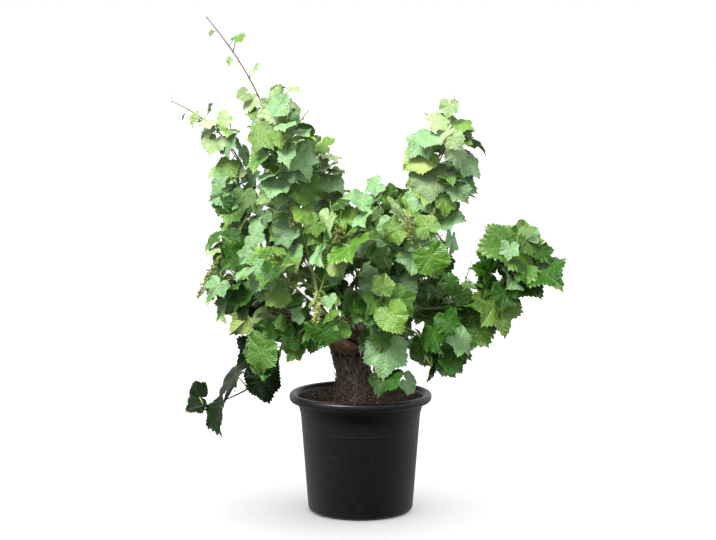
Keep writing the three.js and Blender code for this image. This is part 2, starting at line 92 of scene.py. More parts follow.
print("a ring of four points closes as", *ring_of(4))


# %% Edges between two finishes
def sharpen(mesh, slots, sizes, finishes):
    """Marks an edge as sharp where its faces have different finishes."""
    edges = np.empty(sizes.sum(), int)
    mesh.loops.foreach_get("edge_index", edges)
    loop_slots = np.repeat(slots, sizes)
    low = np.full(len(mesh.edges), finishes)
    high = np.full(len(mesh.edges), -1)
    np.minimum.at(low, edges, loop_slots)
    np.maximum.at(high, edges, loop_slots)
    sharp = mesh.attributes.new("sharp_edge", "BOOLEAN", "EDGE")
    sharp.data.foreach_set("value", low != high)


print("a leaf's rim will be a sharp edge")


# %% Arrays to meshes
class Heap:
    """Points and faces of many small things, in millimetres, joined into one mesh."""

    def __init__(self):
        self.points, self.faces, self.slots, self.places, self.count = [], [], [], [], 0

    def add(self, points, faces, slot=0, places=None):
        for block in faces:
            self.faces.append(block + self.count)
            self.slots.append(np.full(len(block), slot))
        self.points.append(points)
        self.places.append(np.zeros((len(points), 3)) if places is None else places)
        self.count += len(points)

    def triangles(self):
        return sum(len(block) * (block.shape[1] - 2) for block in self.faces)

    def make(self, name, finishes):
        """The joined mesh as an object, with a finish for each slot."""
        points = np.vstack(self.points) * MM
        loops = np.concatenate([block.ravel() for block in self.faces])
        sizes = np.concatenate([np.full(len(b), b.shape[1]) for b in self.faces])
        slots = np.concatenate(self.slots)
        mesh = bpy.data.meshes.new(name)
        mesh.vertices.add(len(points))
        mesh.vertices.foreach_set("co", points.ravel())
        mesh.loops.add(len(loops))
        mesh.loops.foreach_set("vertex_index", loops)
        mesh.polygons.add(len(sizes))
        mesh.polygons.foreach_set("loop_start", np.concatenate([[0], np.cumsum(sizes)[:-1]]))
        mesh.polygons.foreach_set("material_index", slots)
        mesh.polygons.foreach_set("use_smooth", np.ones(len(sizes), bool))
        for finish in finishes:
            mesh.materials.append(finish)
        mesh.update(calc_edges=True)
        if len(finishes) > 1:
            sharpen(mesh, slots, sizes, len(finishes))
        places = mesh.attributes.new("blade", "FLOAT_VECTOR", "POINT")
        places.data.foreach_set("vector", np.vstack(self.places).ravel())
        made = bpy.data.objects.new(name, mesh)
        bpy.context.scene.collection.objects.link(made)
        print(f"{name}: {self.triangles()} triangles")
        return made


def dress(piece, slot, *nodes):
    """The piece stands for these solids, which are hidden, and hangs from the root body. slot is
    not used.
    """
    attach(piece, "root")
    if nodes:
        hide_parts(*nodes)


print("ready to join meshes and to dress the solids")


# %% A tube along a line
def tube(line, radii, sides):
    """Points and faces of a closed tube. radii holds one number, or one row of sides, a point."""
    line, radii = np.asarray(line, float), np.asarray(radii, float)
    radii = radii[:, None] * np.ones(sides) if radii.ndim == 1 else radii
    along = unit(np.gradient(line, axis=0))
    turn = circle(sides)
    upright = abs(along[0][2]) >= 0.9
    across = np.cross(along[0], (1, 0.1, 0) if upright else (0.31, 0.17, 0.94))
    points = []
    for point, direction, radius in zip(line, along, radii):
        across = unit(across - direction * (across @ direction))
        over = np.cross(direction, across)
        points.append(point + radius[:, None] * (
            np.cos(turn)[:, None] * across + np.sin(turn)[:, None] * over))
    points.append(line[:1])
    points.append(line[-1:])
    ring, following = ring_of(sides)
    base = (np.arange(len(line) - 1) * sides)[:, None]
    walls = np.stack([base + ring, base + following, base + following + sides,
                      base + ring + sides], 2).reshape(-1, 4)
    last, ends = (len(line) - 1) * sides, len(line) * sides
    caps = np.vstack([np.stack([np.full(sides, ends), following, ring], 1),
                      np.stack([np.full(sides, ends + 1), last + ring, last + following], 1)])
    return np.vstack(points), [walls, caps]


print("a tube of two rings has", len(tube([(0, 0, 0), (0, 0, 1)], (1, 1), 6)[0]), "points")

# %% [markdown]
# ## The seeded rule of growth
#
# A shoot leaves a spur on an arm and arches to its tip. Leaves stand on alternate sides at even
# spacing, with a second leaf opposite on the older wood, and short side twigs carry their own.
# Placing each leaf by hand would take days and a particle system would forget the solids, so a
# rule grows them. Every draw comes from one small function of three whole numbers, so the vine
# grows the same way each time and its leaves lie where the solids have them.

# %% Named sizes of the vine
# The solids have the same sizes. Heights are over the floor, and x runs to the right.
POT = dict(base_r=147, foot=9, step_z=286, step_low_r=169, step_high_r=175, rim_low_z=311,
           rim_r=200, rim_z=336, lip=12, wall=3.5, floor=5)
SOIL_TOP = 318
FOOT, NECK, HEAD = np.array([[-14, 0, 318.3], [-24, 0, 413], [-42, 0, 500]], float)
TRUNK = dict(flare_r=68, neck_r=46, head_r=50, crown=52, gnarl=0.06, roots=5)
BURR = dict(at=(-50, -34, 477), half=(52, 30, 24), tilt=26)
ARM = dict(base_r=24, tip_r=11, bow=14)
SPUR_GAP = 24  # along an arm, from one shoot to the next
ARMS = {
    "left": (-270, -10, 612), "right": (116, 0, 582), "front": (-120, -120, 600),
    "back": (-30, 130, 608), "middle": (24, 22, 650),
}
LOBES = ((0, 1), (30, 0.72), (57, 0.88), (121, 0.78), (180, 0.14))  # degrees and reach
STEM = dict(segments=20, step=52, bare=0.06, fade=0.72, pull=0.36)
TWIG = dict(reach=120, share=0.6, step=38, start=20)
TRIES, SMALLER_FROM, SMALLER = 14, 5, 0.8  # tries for a leaf, the later ones with a smaller leaf
CROWD = 0.26  # how near the middles of two leaves may come, as a share of both their sizes
APART, CLEAR = 3, 7  # from blade to blade, and from the middle of a blade to a stem
VARY = 0.8  # how far a leaf may turn away from the light
MARGIN = 5  # by how much a leaf is nearer to its own stem than to any other
REACH = 240  # the furthest that a leaf goes from its stem
HEART = np.array([-20, 20, 560.0])  # the middle of the crown, from which leaves look outwards
print("a pot", 2 * POT["rim_r"], "mm across, and", len(ARMS), "arms")


# %% The list of shoots
def shoot(arm, spur, tip, leave, arrive, leaf, seed, clusters=(), **other):
    """One row of the list of shoots.

    leave and arrive are (heading, pitch) in degrees, and pull says how far each holds. Past the
    share fade the leaves are young. drawn is the size of the grown leaves against the solids',
    tip_leaf is the same for the young ones, and filled is the share of fine growth that is kept.
    A cluster is its place along the shoot, its way out, its length, its radius and its lean.
    """
    row = dict(arm=arm, spur=spur, tip=tip, leave=leave, arrive=arrive, leaf=leaf, seed=seed)
    row.update(pull=STEM["pull"], fade=STEM["fade"], step=STEM["step"], twigs=TWIG["share"],
               clusters=clusters, pairs=True, filled=1, drawn=0.8, tip_leaf=1)
    row.update(other)
    return row


SHOOTS = {
    "tall_left": shoot("left", 2, (-424, -20, 1383), (65, 80), (185, 50), 100, 49,
                       pull=0.42, fade=0.45, filled=0.3, drawn=0.75, tip_leaf=0.55),
    "far_left": shoot("left", 0, (-529, 0, 1153), (150, 88), (178, 22), 105, 105,
                      pull=0.42, fade=0.5, filled=0.5, drawn=0.75, tip_leaf=0.5),
    "side_left": shoot("left", 1, (-385, -130, 760), (-130, 20), (150, 70), 100, 105,
                       [(0.85, 24, 130, 13, -0.55)], filled=0.7),
    "low_left": shoot("left", 3, (-480, -70, 300), (-90, -85), (180, -10), 98, 90,
                      pull=0.45, fade=0.85, twigs=0, step=66, pairs=False, filled=0, drawn=1),
    "low_back_left": shoot("left", 4, (-280, 210, 480), (90, 0), (100, -60), 100, 40),
    "inner_left": shoot("front", 1, (-210, -130, 1185), (170, 80), (60, 80), 98, 59,
                        [(0.47, 34, 70, 13, 0)], fade=0.8, filled=0.6, drawn=0.76),
    "front_middle": shoot("front", 0, (-50, -240, 870), (-60, 60), (-60, 70), 105, 93,
                          [(0.8, 42, 52, 22, 0)]),
    "low_front": shoot("front", 2, (-240, -190, 420), (-150, -10), (-120, -75), 100, 106),
    "middle_left": shoot("front", 3, (-250, -240, 760), (-170, 50), (200, 60), 105, 39),
    "front_hanging": shoot("front", 4, (70, -230, 590), (-40, 40), (-40, -60), 98, 10,
                           fade=0.9, step=40, filled=0.5),
    "front_screen": shoot("front", 5, (-115, -240, 535), (-115, 75), (-85, -85), 84, 46,
                          [(0.5, 62, 122, 18, 0.04)], pull=0.65, fade=0.9, step=30,
                          filled=0.15),
    "middle_low": shoot("middle", 3, (-140, 60, 700), (170, 25), (150, 40), 84, 104,
                        fade=0.9, step=34),
    "upper_middle": shoot("middle", 1, (-150, -20, 1005), (200, 65), (150, 80), 90, 87),
    "crown_middle": shoot("middle", 0, (50, 60, 885), (60, 75), (60, 60), 95, 15),
    "tall_right": shoot("right", 1, (256, -20, 1155), (10, 70), (0, 75), 108, 21),
    "far_right": shoot("right", 0, (490, -60, 765), (-12, -14), (-5, 55), 118, 9, fade=0.82,
                       drawn=0.95),
    "inner_right": shoot("right", 3, (135, -150, 880), (-100, 50), (60, 70), 105, 11,
                         [(0.86, 44, 78, 17, 0)]),
    "low_right": shoot("right", 2, (225, -190, 430), (-50, -20), (-70, -70), 102, 105,
                       drawn=1),
    "low_middle": shoot("right", 4, (90, -180, 430), (-90, -10), (-90, -75), 95, 60, drawn=1),
    "right_back": shoot("right", 5, (240, 190, 680), (70, 30), (30, 60), 100, 44),
    "back_left_tall": shoot("back", 1, (-190, 130, 1060), (170, 60), (120, 75), 95, 78,
                            fade=0.85),
    "back_left": shoot("back", 2, (-260, 230, 860), (150, 30), (140, 60), 105, 21),
    "back_right": shoot("back", 0, (150, 250, 850), (60, 50), (60, 60), 105, 15),
    "low_back": shoot("back", 3, (60, 300, 420), (60, 0), (90, -70), 108, 60),
}
print(len(SHOOTS), "shoots")


# %% Draws
def chance(seed, item, draw):
    """A number from 0 to 1 that looks random and is always the same for the same three."""
    s = math.sin(seed * 12.9898 + item * 78.233 + draw * 37.719) * 43758.5453
    return s - math.floor(s)


def spread(seed, item, draw):
    """The same, from -1 to 1."""
    return 2 * chance(seed, item, draw) - 1


# What is added to a shoot's seed, so that each kind of thing has draws of its own.
OWN = dict(tendril=300, cluster=400, blade=500, colour=700, turned=900)
print("a first draw", round(chance(1, 1, 1), 3))


# %% Lines and light
def heading(turn, pitch):
    """The direction that has this turn from the right, and this rise, in degrees."""
    turn, pitch = math.radians(turn), math.radians(pitch)
    return np.array([math.cos(pitch) * math.cos(turn), math.cos(pitch) * math.sin(turn),
                     math.sin(pitch)])


def arm_point(arm, s):
    """The point at a share s of an arm, which sags a little between its ends."""
    tip = np.array(ARMS[arm], float)
    return HEAD + (tip - HEAD) * s - np.array([0, 0, ARM["bow"] * 4 * s * (1 - s)])


def stem_line(row, segments=STEM["segments"]):
    """A shoot's stem as a curve with two handles, from its spur to its tip."""
    length = np.linalg.norm(np.array(ARMS[row["arm"]]) - HEAD)
    start, end = arm_point(row["arm"], 1 - SPUR_GAP * row["spur"] / length), np.array(row["tip"])
    pull = row["pull"] * np.linalg.norm(end - start)
    second = start + heading(*row["leave"]) * pull
    third = end - heading(*row["arrive"]) * pull
    t = np.linspace(0, 1, segments + 1)[:, None]
    return ((1 - t) ** 3 * start + 3 * (1 - t) ** 2 * t * second
            + 3 * (1 - t) * t * t * third + t ** 3 * end)


def lengths_of(line):
    """How far along the line each of its points is."""
    return np.concatenate([[0], np.cumsum(np.linalg.norm(np.diff(line, axis=0), axis=1))])


def point_at(line, lengths, at):
    """The point, or one point for each of several lengths."""
    return np.stack([np.interp(at, lengths, line[:, i]) for i in range(3)], -1)


def light_at(p):
    """Leaves turn to the open: outwards, to the nearer of front and back, and up."""
    out = unit((p - HEART) * (1, 1, 0.3))
    face = max(-1, min(1, (p[1] - 60) / 60))  # the crown parts into front and back at 60 mm
    return unit(out * 0.55 + np.array([0, 0.65 * face, 0.55]))


LINES = {name: stem_line(row) for name, row in SHOOTS.items()}
print("stems", round(sum(lengths_of(line)[-1] for line in LINES.values()) * MM, 1), "m in all")

# %% [markdown]
# A leaf is tried at a place and kept if it fits. It has to stay nearer its own stem than any
# other, clear of the pot and the wood, and it may not cut a stem or cross another blade. These
# are the same tests, in the same order, that placed the solids' leaves.

# %% Places that are free
# Leaves keep out of balls round the wood, six steps along the trunk and along each arm.
WOOD = [(FOOT + (HEAD - FOOT) * i / 6, 78 - 3 * i) for i in range(7)]
WOOD += [(arm_point(arm, i / 6), 40 - 16 * i / 6) for arm in ARMS for i in range(7)]
WOOD_AT, WOOD_R = np.array([w[0] for w in WOOD]), np.array([w[1] for w in WOOD])
PAST_RIM, OVER_RIM = 12, 10  # how far leaves stay outside and above the pot's rim


def nearest(points, line):
    """Each point's distance from the nearest point of the line."""
    return np.sqrt(((points[:, None] - line[None]) ** 2).sum(2)).min(1)


def fits(name, points, wood=True, nearer=0):
    """True where all the points lie in the shoot's own space. nearer lets them close to wood."""
    within = np.hypot(points[:, 0], points[:, 1]) < POT["rim_r"] + PAST_RIM
    if (within & (points[:, 2] < POT["rim_z"] + OVER_RIM)).any():
        return False
    clear = points if wood else points[1:]
    if (np.linalg.norm(clear[:, None] - WOOD_AT, axis=2) <= WOOD_R - nearer).any():
        return False
    own = nearest(points, LINES[name])
    if own.max() > REACH:
        return False
    others = np.vstack([line for other, line in LINES.items() if other != name])
    return bool((nearest(points, others) > own + MARGIN).all())


print(len(WOOD), "balls round the wood")


# %% Blades that would meet
DISC_AT = 0.3  # a blade is tested as a disc about this share of its length
CROSSED, CUT = 0.49, 0.55  # the disc's radius squared, against a blade and against a stem
NEAR = 0.75  # blades whose middles are further apart than this share of both sizes can't meet


def in_leaf(leaf, points):
    """Shares of the leaf's size along and across its midrib, and the height over its face."""
    along, across, normal = leaf["frame"]
    q = points - leaf["base"]
    x, y = q @ along / leaf["size"], q @ across / leaf["size"]
    return x, y, q @ normal


def pierces(a, b, apart):
    """True where the tested points of blade a lie on both sides of blade b, or near it."""
    x, y, height = in_leaf(b, a["checked"])
    height = height + b["size"] * b["cup"] * (x * x + y * y)
    height = height[(x - DISC_AT) ** 2 + y * y < CROSSED]
    return len(height) > 0 and height.min() < apart and height.max() > -apart


def crosses(a, b, apart):
    """True where each of the two blades pierces the other."""
    near = np.linalg.norm(a["centre"] - b["centre"]) <= NEAR * (a["size"] + b["size"])
    return near and pierces(a, b, apart) and pierces(b, a, apart)


def cuts(leaf, starts, ends, clear):
    """True if one of the straight pieces comes too near the middle of the blade."""
    seen = []
    for points in (starts, ends):
        x, y, height = in_leaf(leaf, points)
        bend = leaf["size"] * leaf["cup"] * np.minimum(1, x * x + y * y)
        seen.append(np.stack([height + bend, x, y]))
    fall = seen[0][0] - seen[1][0]
    t = np.clip(seen[0][0] / np.where(abs(fall) < 1e-9, 1e-9, fall), 0, 1)
    height, x, y = seen[0] + (seen[1] - seen[0]) * t
    return bool(((abs(height) < clear) & ((x - DISC_AT) ** 2 + y * y < CUT)).any())


HALF = [(math.radians(a), r) for a, r in LOBES]
OUTLINE = np.array([(r * math.cos(a), r * math.sin(a)) for a, r in
                    HALF + [(-a, r) for a, r in reversed(HALF[1:-1])]])
MIDDLE = 0.35  # where a blade's middle lies along its midrib


def measured(leaf):
    """Gives the leaf its centre and the points that have to be free."""
    along, across, normal = leaf["frame"]
    x, y, base, size = OUTLINE[:, :1], OUTLINE[:, 1:], leaf["base"], leaf["size"]
    rim = base + size * (x * along + y * across - normal * leaf["cup"] * (x * x + y * y))
    leaf["checked"] = np.vstack([rim, base[None], (rim + base) / 2])
    leaf["centre"] = base + along * size * MIDDLE
    return leaf


print(len(OUTLINE), "points round a blade are tested")

# %% [markdown]
# Growing a shoot then walks along its stem. The solids' leaves are a few big ones, each standing
# for the cluster round one joint. Here each of them shrinks towards its own middle, and its
# neighbours come in. That finer growth, small side shoots with young leaves, is drawn afterwards
# with its own numbers, so that it can't move the leaves that are there already. It is thinner
# where the vine is open, and where a flower cluster would be hidden.

# %% Room for the flower clusters
DRAWN_FROM = 45  # leaves that are smaller than this keep the size they have in the solids
# Small side shoots: how many are tried, from one try to the next, how long they are, how big and
# how far apart their leaves are, and the same tests as above with less room.
FINE = dict(share=0.95, gap=15, reach=85, leaf=66, step=20, start=10, apart=0.8, clear=2,
            nearer=14, crowd=0.22, round_cluster=250, first_item=1000)


def bunches(name):
    """The flower clusters of a shoot: where each hangs from, its top, its way and its size."""
    stem, found = LINES[name], []
    for share, out, length, radius, lean in SHOOTS[name]["clusters"]:
        lengths = lengths_of(stem)
        node = point_at(stem, lengths, share * lengths[-1])
        found.append(dict(node=node, top=node + light_at(node) * out,
                          down=unit(np.array([lean, 0, -1.0])), length=length, radius=radius))
    return found


BUNCHES = {name: bunches(name) for name in SHOOTS}
print(sum(len(found) for found in BUNCHES.values()), "flower clusters")


def spots(found, wide):
    """Places along the clusters that leaves keep away from, and how wide a leaf they count as."""
    return [(q["top"] + q["down"] * s * q["length"], wide or 0.6 * q["length"])
            for q in found for s in (0.1, 0.5, 0.9)]


# %% Joints and twigs
def joints(line, start, step):
    """The joints along a line, with the directions that a leaf there needs."""
    lengths = lengths_of(line)
    k = 0
    while start + (k + 0.5) * step <= lengths[-1]:
        at = start + (k + 0.5) * step
        p = point_at(line, lengths, at)
        along = unit(point_at(line, lengths, min(at + 5, lengths[-1]))
                     - point_at(line, lengths, max(at - 5, 0)))
        light = light_at(p)
        side = unit(np.cross(along, light) + np.array([0.02, 0, 0]))
        yield k, at / lengths[-1], dict(p=p, along=along, side=side, light=light)
        k += 1


def joints_of(sprout, step):
    """The joints of a shoot's own stem, past the bare stretch at its foot."""
    stem = LINES[sprout["name"]]
    return joints(stem, STEM["bare"] * lengths_of(stem)[-1], step)


def twig_on(sprout, joint, reach, item):
    """A side twig, or nothing where it doesn't fit."""
    p, along, side = joint["p"], joint["along"], joint["side"]
    turn = 2 * math.pi * chance(SHOOTS[sprout["name"]]["seed"], item, 3)
    out = unit((side * math.cos(turn) + unit(np.cross(side, along)) * math.sin(turn)) * 0.8
               + along * 0.45 + joint["light"] * 0.35)
    u = np.linspace(0, 1, 5)[:, None]
    line = p + out * reach * u + np.array([0, 0, 0.15]) * reach * u * u
    return line if fits(sprout["name"], line, False, sprout["room"]["nearer"]) else None


print(len(list(joints_of(dict(name="tall_left"), STEM["step"]))), "joints on the tall left shoot")


# %% A leaf that is tried
def next_item(sprout):
    """The number that a leaf or twig takes its draws by, counted up for each."""
    sprout["items"] += 1
    return sprout["items"] - 1


def tried_leaf(sprout, joint, hand, grown, t, item, attempt):
    """The leaf that this attempt's draws give, at a joint that is a share t along the shoot."""
    p, along, side, light = (joint[key] for key in ("p", "along", "side", "light"))
    seed = SHOOTS[sprout["name"]]["seed"]
    c = lambda k: chance(seed, item, attempt * 16 + k)
    w = lambda k: spread(seed, item, attempt * 16 + k)
    size = grown * (0.84 + 0.28 * c(1)) * (SMALLER if attempt >= SMALLER_FROM else 1)
    stalk = unit(side * hand * (0.75 + 0.3 * w(2)) + light * (0.45 + 0.45 * w(3))
                 + along * (0.25 + 0.35 * w(4)))
    reach = size * (0.5 + 0.25 * c(5))
    base = p + stalk * reach - np.array([0, 0, 0.1 * reach])
    normal = unit(light + VARY * np.array([w(6), w(7), 0.6 * w(8)]))
    midrib = stalk * 0.8 + np.array([0, 0, -0.7]) + side * 0.3 * w(9)
    midrib = unit(midrib - normal * (normal @ midrib))
    return measured(dict(node=p, base=base, size=size, cup=0.08 + 0.12 * c(10),
                         frame=(midrib, np.cross(normal, midrib), normal),
                         shoot=sprout["name"], item=item, t=t))


def has_room(sprout, leaf):
    """True where the leaf keeps clear of the wood, of the rim and of all that the shoot has."""
    room, leaves = sprout["room"], sprout["leaves"]
    if not fits(sprout["name"], leaf["checked"], nearer=room["nearer"]):
        return False
    if any(((leaf["centre"] - at) ** 2).sum() < (room["crowd"] * (leaf["size"] + wide)) ** 2
           for at, wide in sprout["taken"]):
        return False
    lines = [LINES[sprout["name"]]] + sprout["twigs"] + sprout["fine"]
    starts = [line[:-1] for line in lines] + [np.array([q["node"]]) for q in leaves]
    ends = [line[1:] for line in lines] + [np.array([q["base"]]) for q in leaves]
    if cuts(leaf, np.vstack(starts), np.vstack(ends), room["clear"]):
        return False
    stalk = leaf["node"][None], leaf["base"][None]
    return not any(crosses(leaf, q, room["apart"]) or cuts(q, *stalk, room["clear"])
                   for q in leaves)


def leaf_on(sprout, joint, hand, grown, t):
    """Tries some leaves at a joint and keeps the first that fits."""
    item = next_item(sprout)
    for attempt in range(TRIES):
        leaf = tried_leaf(sprout, joint, hand, grown, t, item, attempt)
        if has_room(sprout, leaf):
            sprout["leaves"].append(leaf)
            return


print("a joint gets up to", TRIES, "tries for each leaf")


# %% The solids' leaves and twigs
def leaves_along(sprout, twig, rule, size_at, t):
    """Leaves on alternate sides of a twig. size_at gives their size at a share of its length."""
    for j, u, joint in joints(twig, rule["start"], rule["step"]):
        leaf_on(sprout, joint, 1 if j % 2 else -1, size_at(u), t)


def grow_first(sprout):
    """The leaves and twigs that the solids have."""
    row = SHOOTS[sprout["name"]]
    fade = row["fade"]
    for k, t, joint in joints_of(sprout, row["step"]):
        young = max(0, (t - fade) / (1 - fade))
        here, hand = row["leaf"] * (1 - 0.8 * young ** 0.7), 1 if k % 2 else -1
        leaf_on(sprout, joint, hand, here, t)
        if t < fade + 0.05 and row["pairs"]:
            leaf_on(sprout, joint, -hand, here * 0.85, t)
        if t >= fade:
            continue
        item = next_item(sprout)
        if chance(row["seed"], item, 1) >= row["twigs"]:
            continue
        reach = TWIG["reach"] * (0.75 + 0.5 * chance(row["seed"], item, 2))
        twig = twig_on(sprout, joint, reach, item)
        if twig is not None:
            sprout["twigs"].append(twig)
            leaves_along(sprout, twig, TWIG, lambda u: here * 0.9 * (1 - 0.45 * u), t)


def shrink(sprout):
    """Draws each leaf towards its middle, to the size that it has on the vine."""
    row = SHOOTS[sprout["name"]]
    for leaf in sprout["leaves"]:
        inset = 1 - row["drawn"] if leaf["size"] > DRAWN_FROM else 0
        if leaf["t"] > row["fade"]:
            inset = max(inset, 1 - row["tip_leaf"])
        leaf["base"] = leaf["base"] + leaf["frame"][0] * MIDDLE * inset * leaf["size"]
        leaf["size"] *= 1 - inset
        measured(leaf)


# A sprout is a shoot while it grows: what it has so far, the places that its leaves keep away
# from, and how much room a leaf needs.
SPROUTS = {name: dict(name=name, leaves=[], twigs=[], fine=[], items=0,
                      taken=spots(BUNCHES[name], 0),
                      room=dict(apart=APART, clear=CLEAR, nearer=0, crowd=CROWD))
           for name in SHOOTS}
for sprout in SPROUTS.values():
    grow_first(sprout)
    shrink(sprout)
print(sum(len(sprout["leaves"]) for sprout in SPROUTS.values()), "grown leaves")


# %% Fine growth between them
def fill(sprout):
    """Small side shoots fill the gaps, away from the flower clusters."""
    row = SHOOTS[sprout["name"]]
    sprout["items"] = FINE["first_item"]
    sprout["room"] = {key: FINE[key] for key in sprout["room"]}
    sprout["taken"] += spots([q for found in BUNCHES.values() for q in found],
                             FINE["round_cluster"])
    for _, t, joint in joints_of(sprout, FINE["gap"]):
        item = next_item(sprout)
        thinning = max(0, (t - row["fade"]) / (1 - row["fade"]))
        if chance(row["seed"], item, 1) > FINE["share"] * (1 - thinning) * row["filled"]:
            continue
        reach = FINE["reach"] * (0.5 + 0.8 * chance(row["seed"], item, 2)) * (1 - 0.5 * thinning)
        twig = twig_on(sprout, joint, reach, item)
        if twig is not None:
            sprout["fine"].append(twig)
            leaves_along(sprout, twig, FINE,
                         lambda u: FINE["leaf"] * (1 - 0.4 * u) * (1 - 0.5 * thinning), t)


for sprout in SPROUTS.values():
    fill(sprout)
LEAVES = [leaf for sprout in SPROUTS.values() for leaf in sprout["leaves"]]
print(sum(q["item"] >= FINE["first_item"] for q in LEAVES), "small leaves between them")

# %% [markdown]
# ## Finishes
#
# Colours are written as sRGB hex, as a painter would pick them, and one function turns them to
# the linear values that the renderer needs. Another adds a node with its settings and links.
# Object coordinates are in metres, so a pattern whose marks are 12 mm wide has a scale of
# 1 / 0.012.

# %% Colour and node helpers
def linear(code):
    """An sRGB hex colour as the linear red, green, blue and alpha that Blender works in."""
    values = [int(code[i:i + 2], 16) / 255 for i in (1, 3, 5)]
    return tuple(v / 12.92 if v <= 0.04045 else ((v + 0.055) / 1.055) ** 2.4
                 for v in values) + (1,)


def add(tree, kind, inputs=None, **settings):
    """Adds a node. inputs gives each socket a value or the output of another node."""
    made = tree.nodes.new("ShaderNode" + kind)
    for name, value in settings.items():
        setattr(made, name, value)
    for socket, value in (inputs or {}).items():
        if isinstance(value, bpy.types.NodeSocket):
            tree.links.new(value, made.inputs[socket])
        else:
            made.inputs[socket].default_value = value
    return made


def finish(name, ior):
    """A new material with its tree, its shader and its place in the object. None is a metal."""
    made = bpy.data.materials.new(name)
    made.use_nodes = True
    tree = made.node_tree
    shader = tree.nodes["Principled BSDF"]
    shader.inputs["IOR"].default_value = ior
    shader.inputs["Metallic"].default_value = 0.0
    place = add(tree, "TexCoord").outputs["Object"]
    return made, tree, shader, place


FACTOR, FIRST, SECOND, MIXED = 0, 6, 7, 2  # sockets of a colour mix
print("mid green as linear light", [round(v, 3) for v in linear("#587a3a")[:3]])

# %% [markdown]
# ### Leaf
#
# A vine leaf's upper face is smooth, a little waxy and mid green; the lower face is paler and
# matt from its fine down. Five main veins fan out of the stalk's end, one to each lobe, and
# straight side veins leave them at about 50 degrees. The pattern is worked out in the blade's own
# coordinates, which each leaf carries: the angle is folded so that every lobe is drawn as the
# first one. A picture of a leaf would be simpler, but all leaves would then share its blotches.
# Leaf wax has an IOR near 1.45.

# %% Veins and relief of a leaf
LOBE_FOLDS = ((0.506, 0.995), (1.553, 1.117))  # where a lobe begins, and the turn from the last
SIDE_VEINS = 8.0  # in the length of a blade, about 12 mm apart on a grown leaf
SLANT = 0.8  # how far a side vein runs out along the main one for each step across
VEIN_SHOWS = 0.34  # how strongly the veins' colour covers the blade's
BLOTCH_MM, CELL_MM = 18, 9  # the width of the colour patches, and of the puckers between veins
BULGE_MM = 1.4  # how far the blade swells between its side veins


def place_in_lobe(tree, blade, parts):
    """How far a point lies along its lobe's main vein, and across from it."""
    turn = add(tree, "Math", {0: parts[1], 1: parts[0]}, operation="ARCTAN2").outputs[0]
    whole = add(tree, "Math", {0: turn}, operation="ABSOLUTE").outputs[0]
    folded = whole
    for edge, step in LOBE_FOLDS:
        past = add(tree, "Math", {0: whole, 1: edge}, operation="GREATER_THAN").outputs[0]
        folded = add(tree, "Math", {0: past, 1: -step, 2: folded},
                     operation="MULTIPLY_ADD").outputs[0]
    flat = add(tree, "VectorMath", {0: blade, 1: (1, 1, 0)}, operation="MULTIPLY").outputs[0]
    reach = add(tree, "VectorMath", {0: flat}, operation="LENGTH").outputs["Value"]
    cosine = add(tree, "Math", {0: folded}, operation="COSINE").outputs[0]
    sine = add(tree, "Math", {0: folded}, operation="SINE").outputs[0]
    sine = add(tree, "Math", {0: sine}, operation="ABSOLUTE").outputs[0]
    along = add(tree, "Math", {0: reach, 1: cosine}, operation="MULTIPLY").outputs[0]
    across = add(tree, "Math", {0: reach, 1: sine}, operation="MULTIPLY").outputs[0]
    return along, across


def leaf_veins(tree, along, across, blotch):
    """The main veins, all veins, and how far a point is between two side veins."""
    main = add(tree, "MapRange", {0: across, 1: 0.005, 2: 0.02, 3: 1.0, 4: 0.0}).outputs[0]
    slant = add(tree, "Math", {0: across, 1: -SLANT, 2: along},
                operation="MULTIPLY_ADD").outputs[0]
    stray = add(tree, "Math", {0: blotch, 1: 0.1, 2: slant}, operation="MULTIPLY_ADD").outputs[0]
    count = add(tree, "Math", {0: stray, 1: SIDE_VEINS}, operation="MULTIPLY").outputs[0]
    between = add(tree, "Math", {0: count, 1: 0.5}, operation="PINGPONG").outputs[0]
    side = add(tree, "MapRange", {0: between, 1: 0.0, 2: 0.07, 3: 0.55, 4: 0.0}).outputs[0]
    veins = add(tree, "Math", {0: main, 1: side}, operation="MAXIMUM").outputs[0]
    halo = add(tree, "MapRange", {0: across, 1: 0.0, 2: 0.09, 3: 0.5, 4: 0.0}).outputs[0]
    veins = add(tree, "Math", {0: veins, 1: halo}, operation="MAXIMUM").outputs[0]
    return main, veins, between


def leaf_relief(tree, place, main, between, blotch):
    """The height of the blade, which swells between its veins and puckers in small cells."""
    cells = add(tree, "TexVoronoi", {"Vector": place, "Scale": 1000 / CELL_MM, "Smoothness": 0.6},
                feature="SMOOTH_F1").outputs["Distance"]
    swell = add(tree, "MapRange", {0: between, 2: 0.5},
                interpolation_type="SMOOTHSTEP").outputs[0]
    swell = add(tree, "Math", {0: swell, 1: 0.6}, operation="MULTIPLY").outputs[0]
    swell = add(tree, "Math", {0: cells, 1: -1.8, 2: swell}, operation="MULTIPLY_ADD").outputs[0]
    swell = add(tree, "Math", {0: blotch, 1: 1.6, 2: swell}, operation="MULTIPLY_ADD").outputs[0]
    return add(tree, "Math", {0: main, 1: -0.8, 2: swell}, operation="MULTIPLY_ADD").outputs[0]


print("side veins stand", round(math.degrees(math.pi / 2 - math.atan(SLANT))),
      "degrees from the main one")


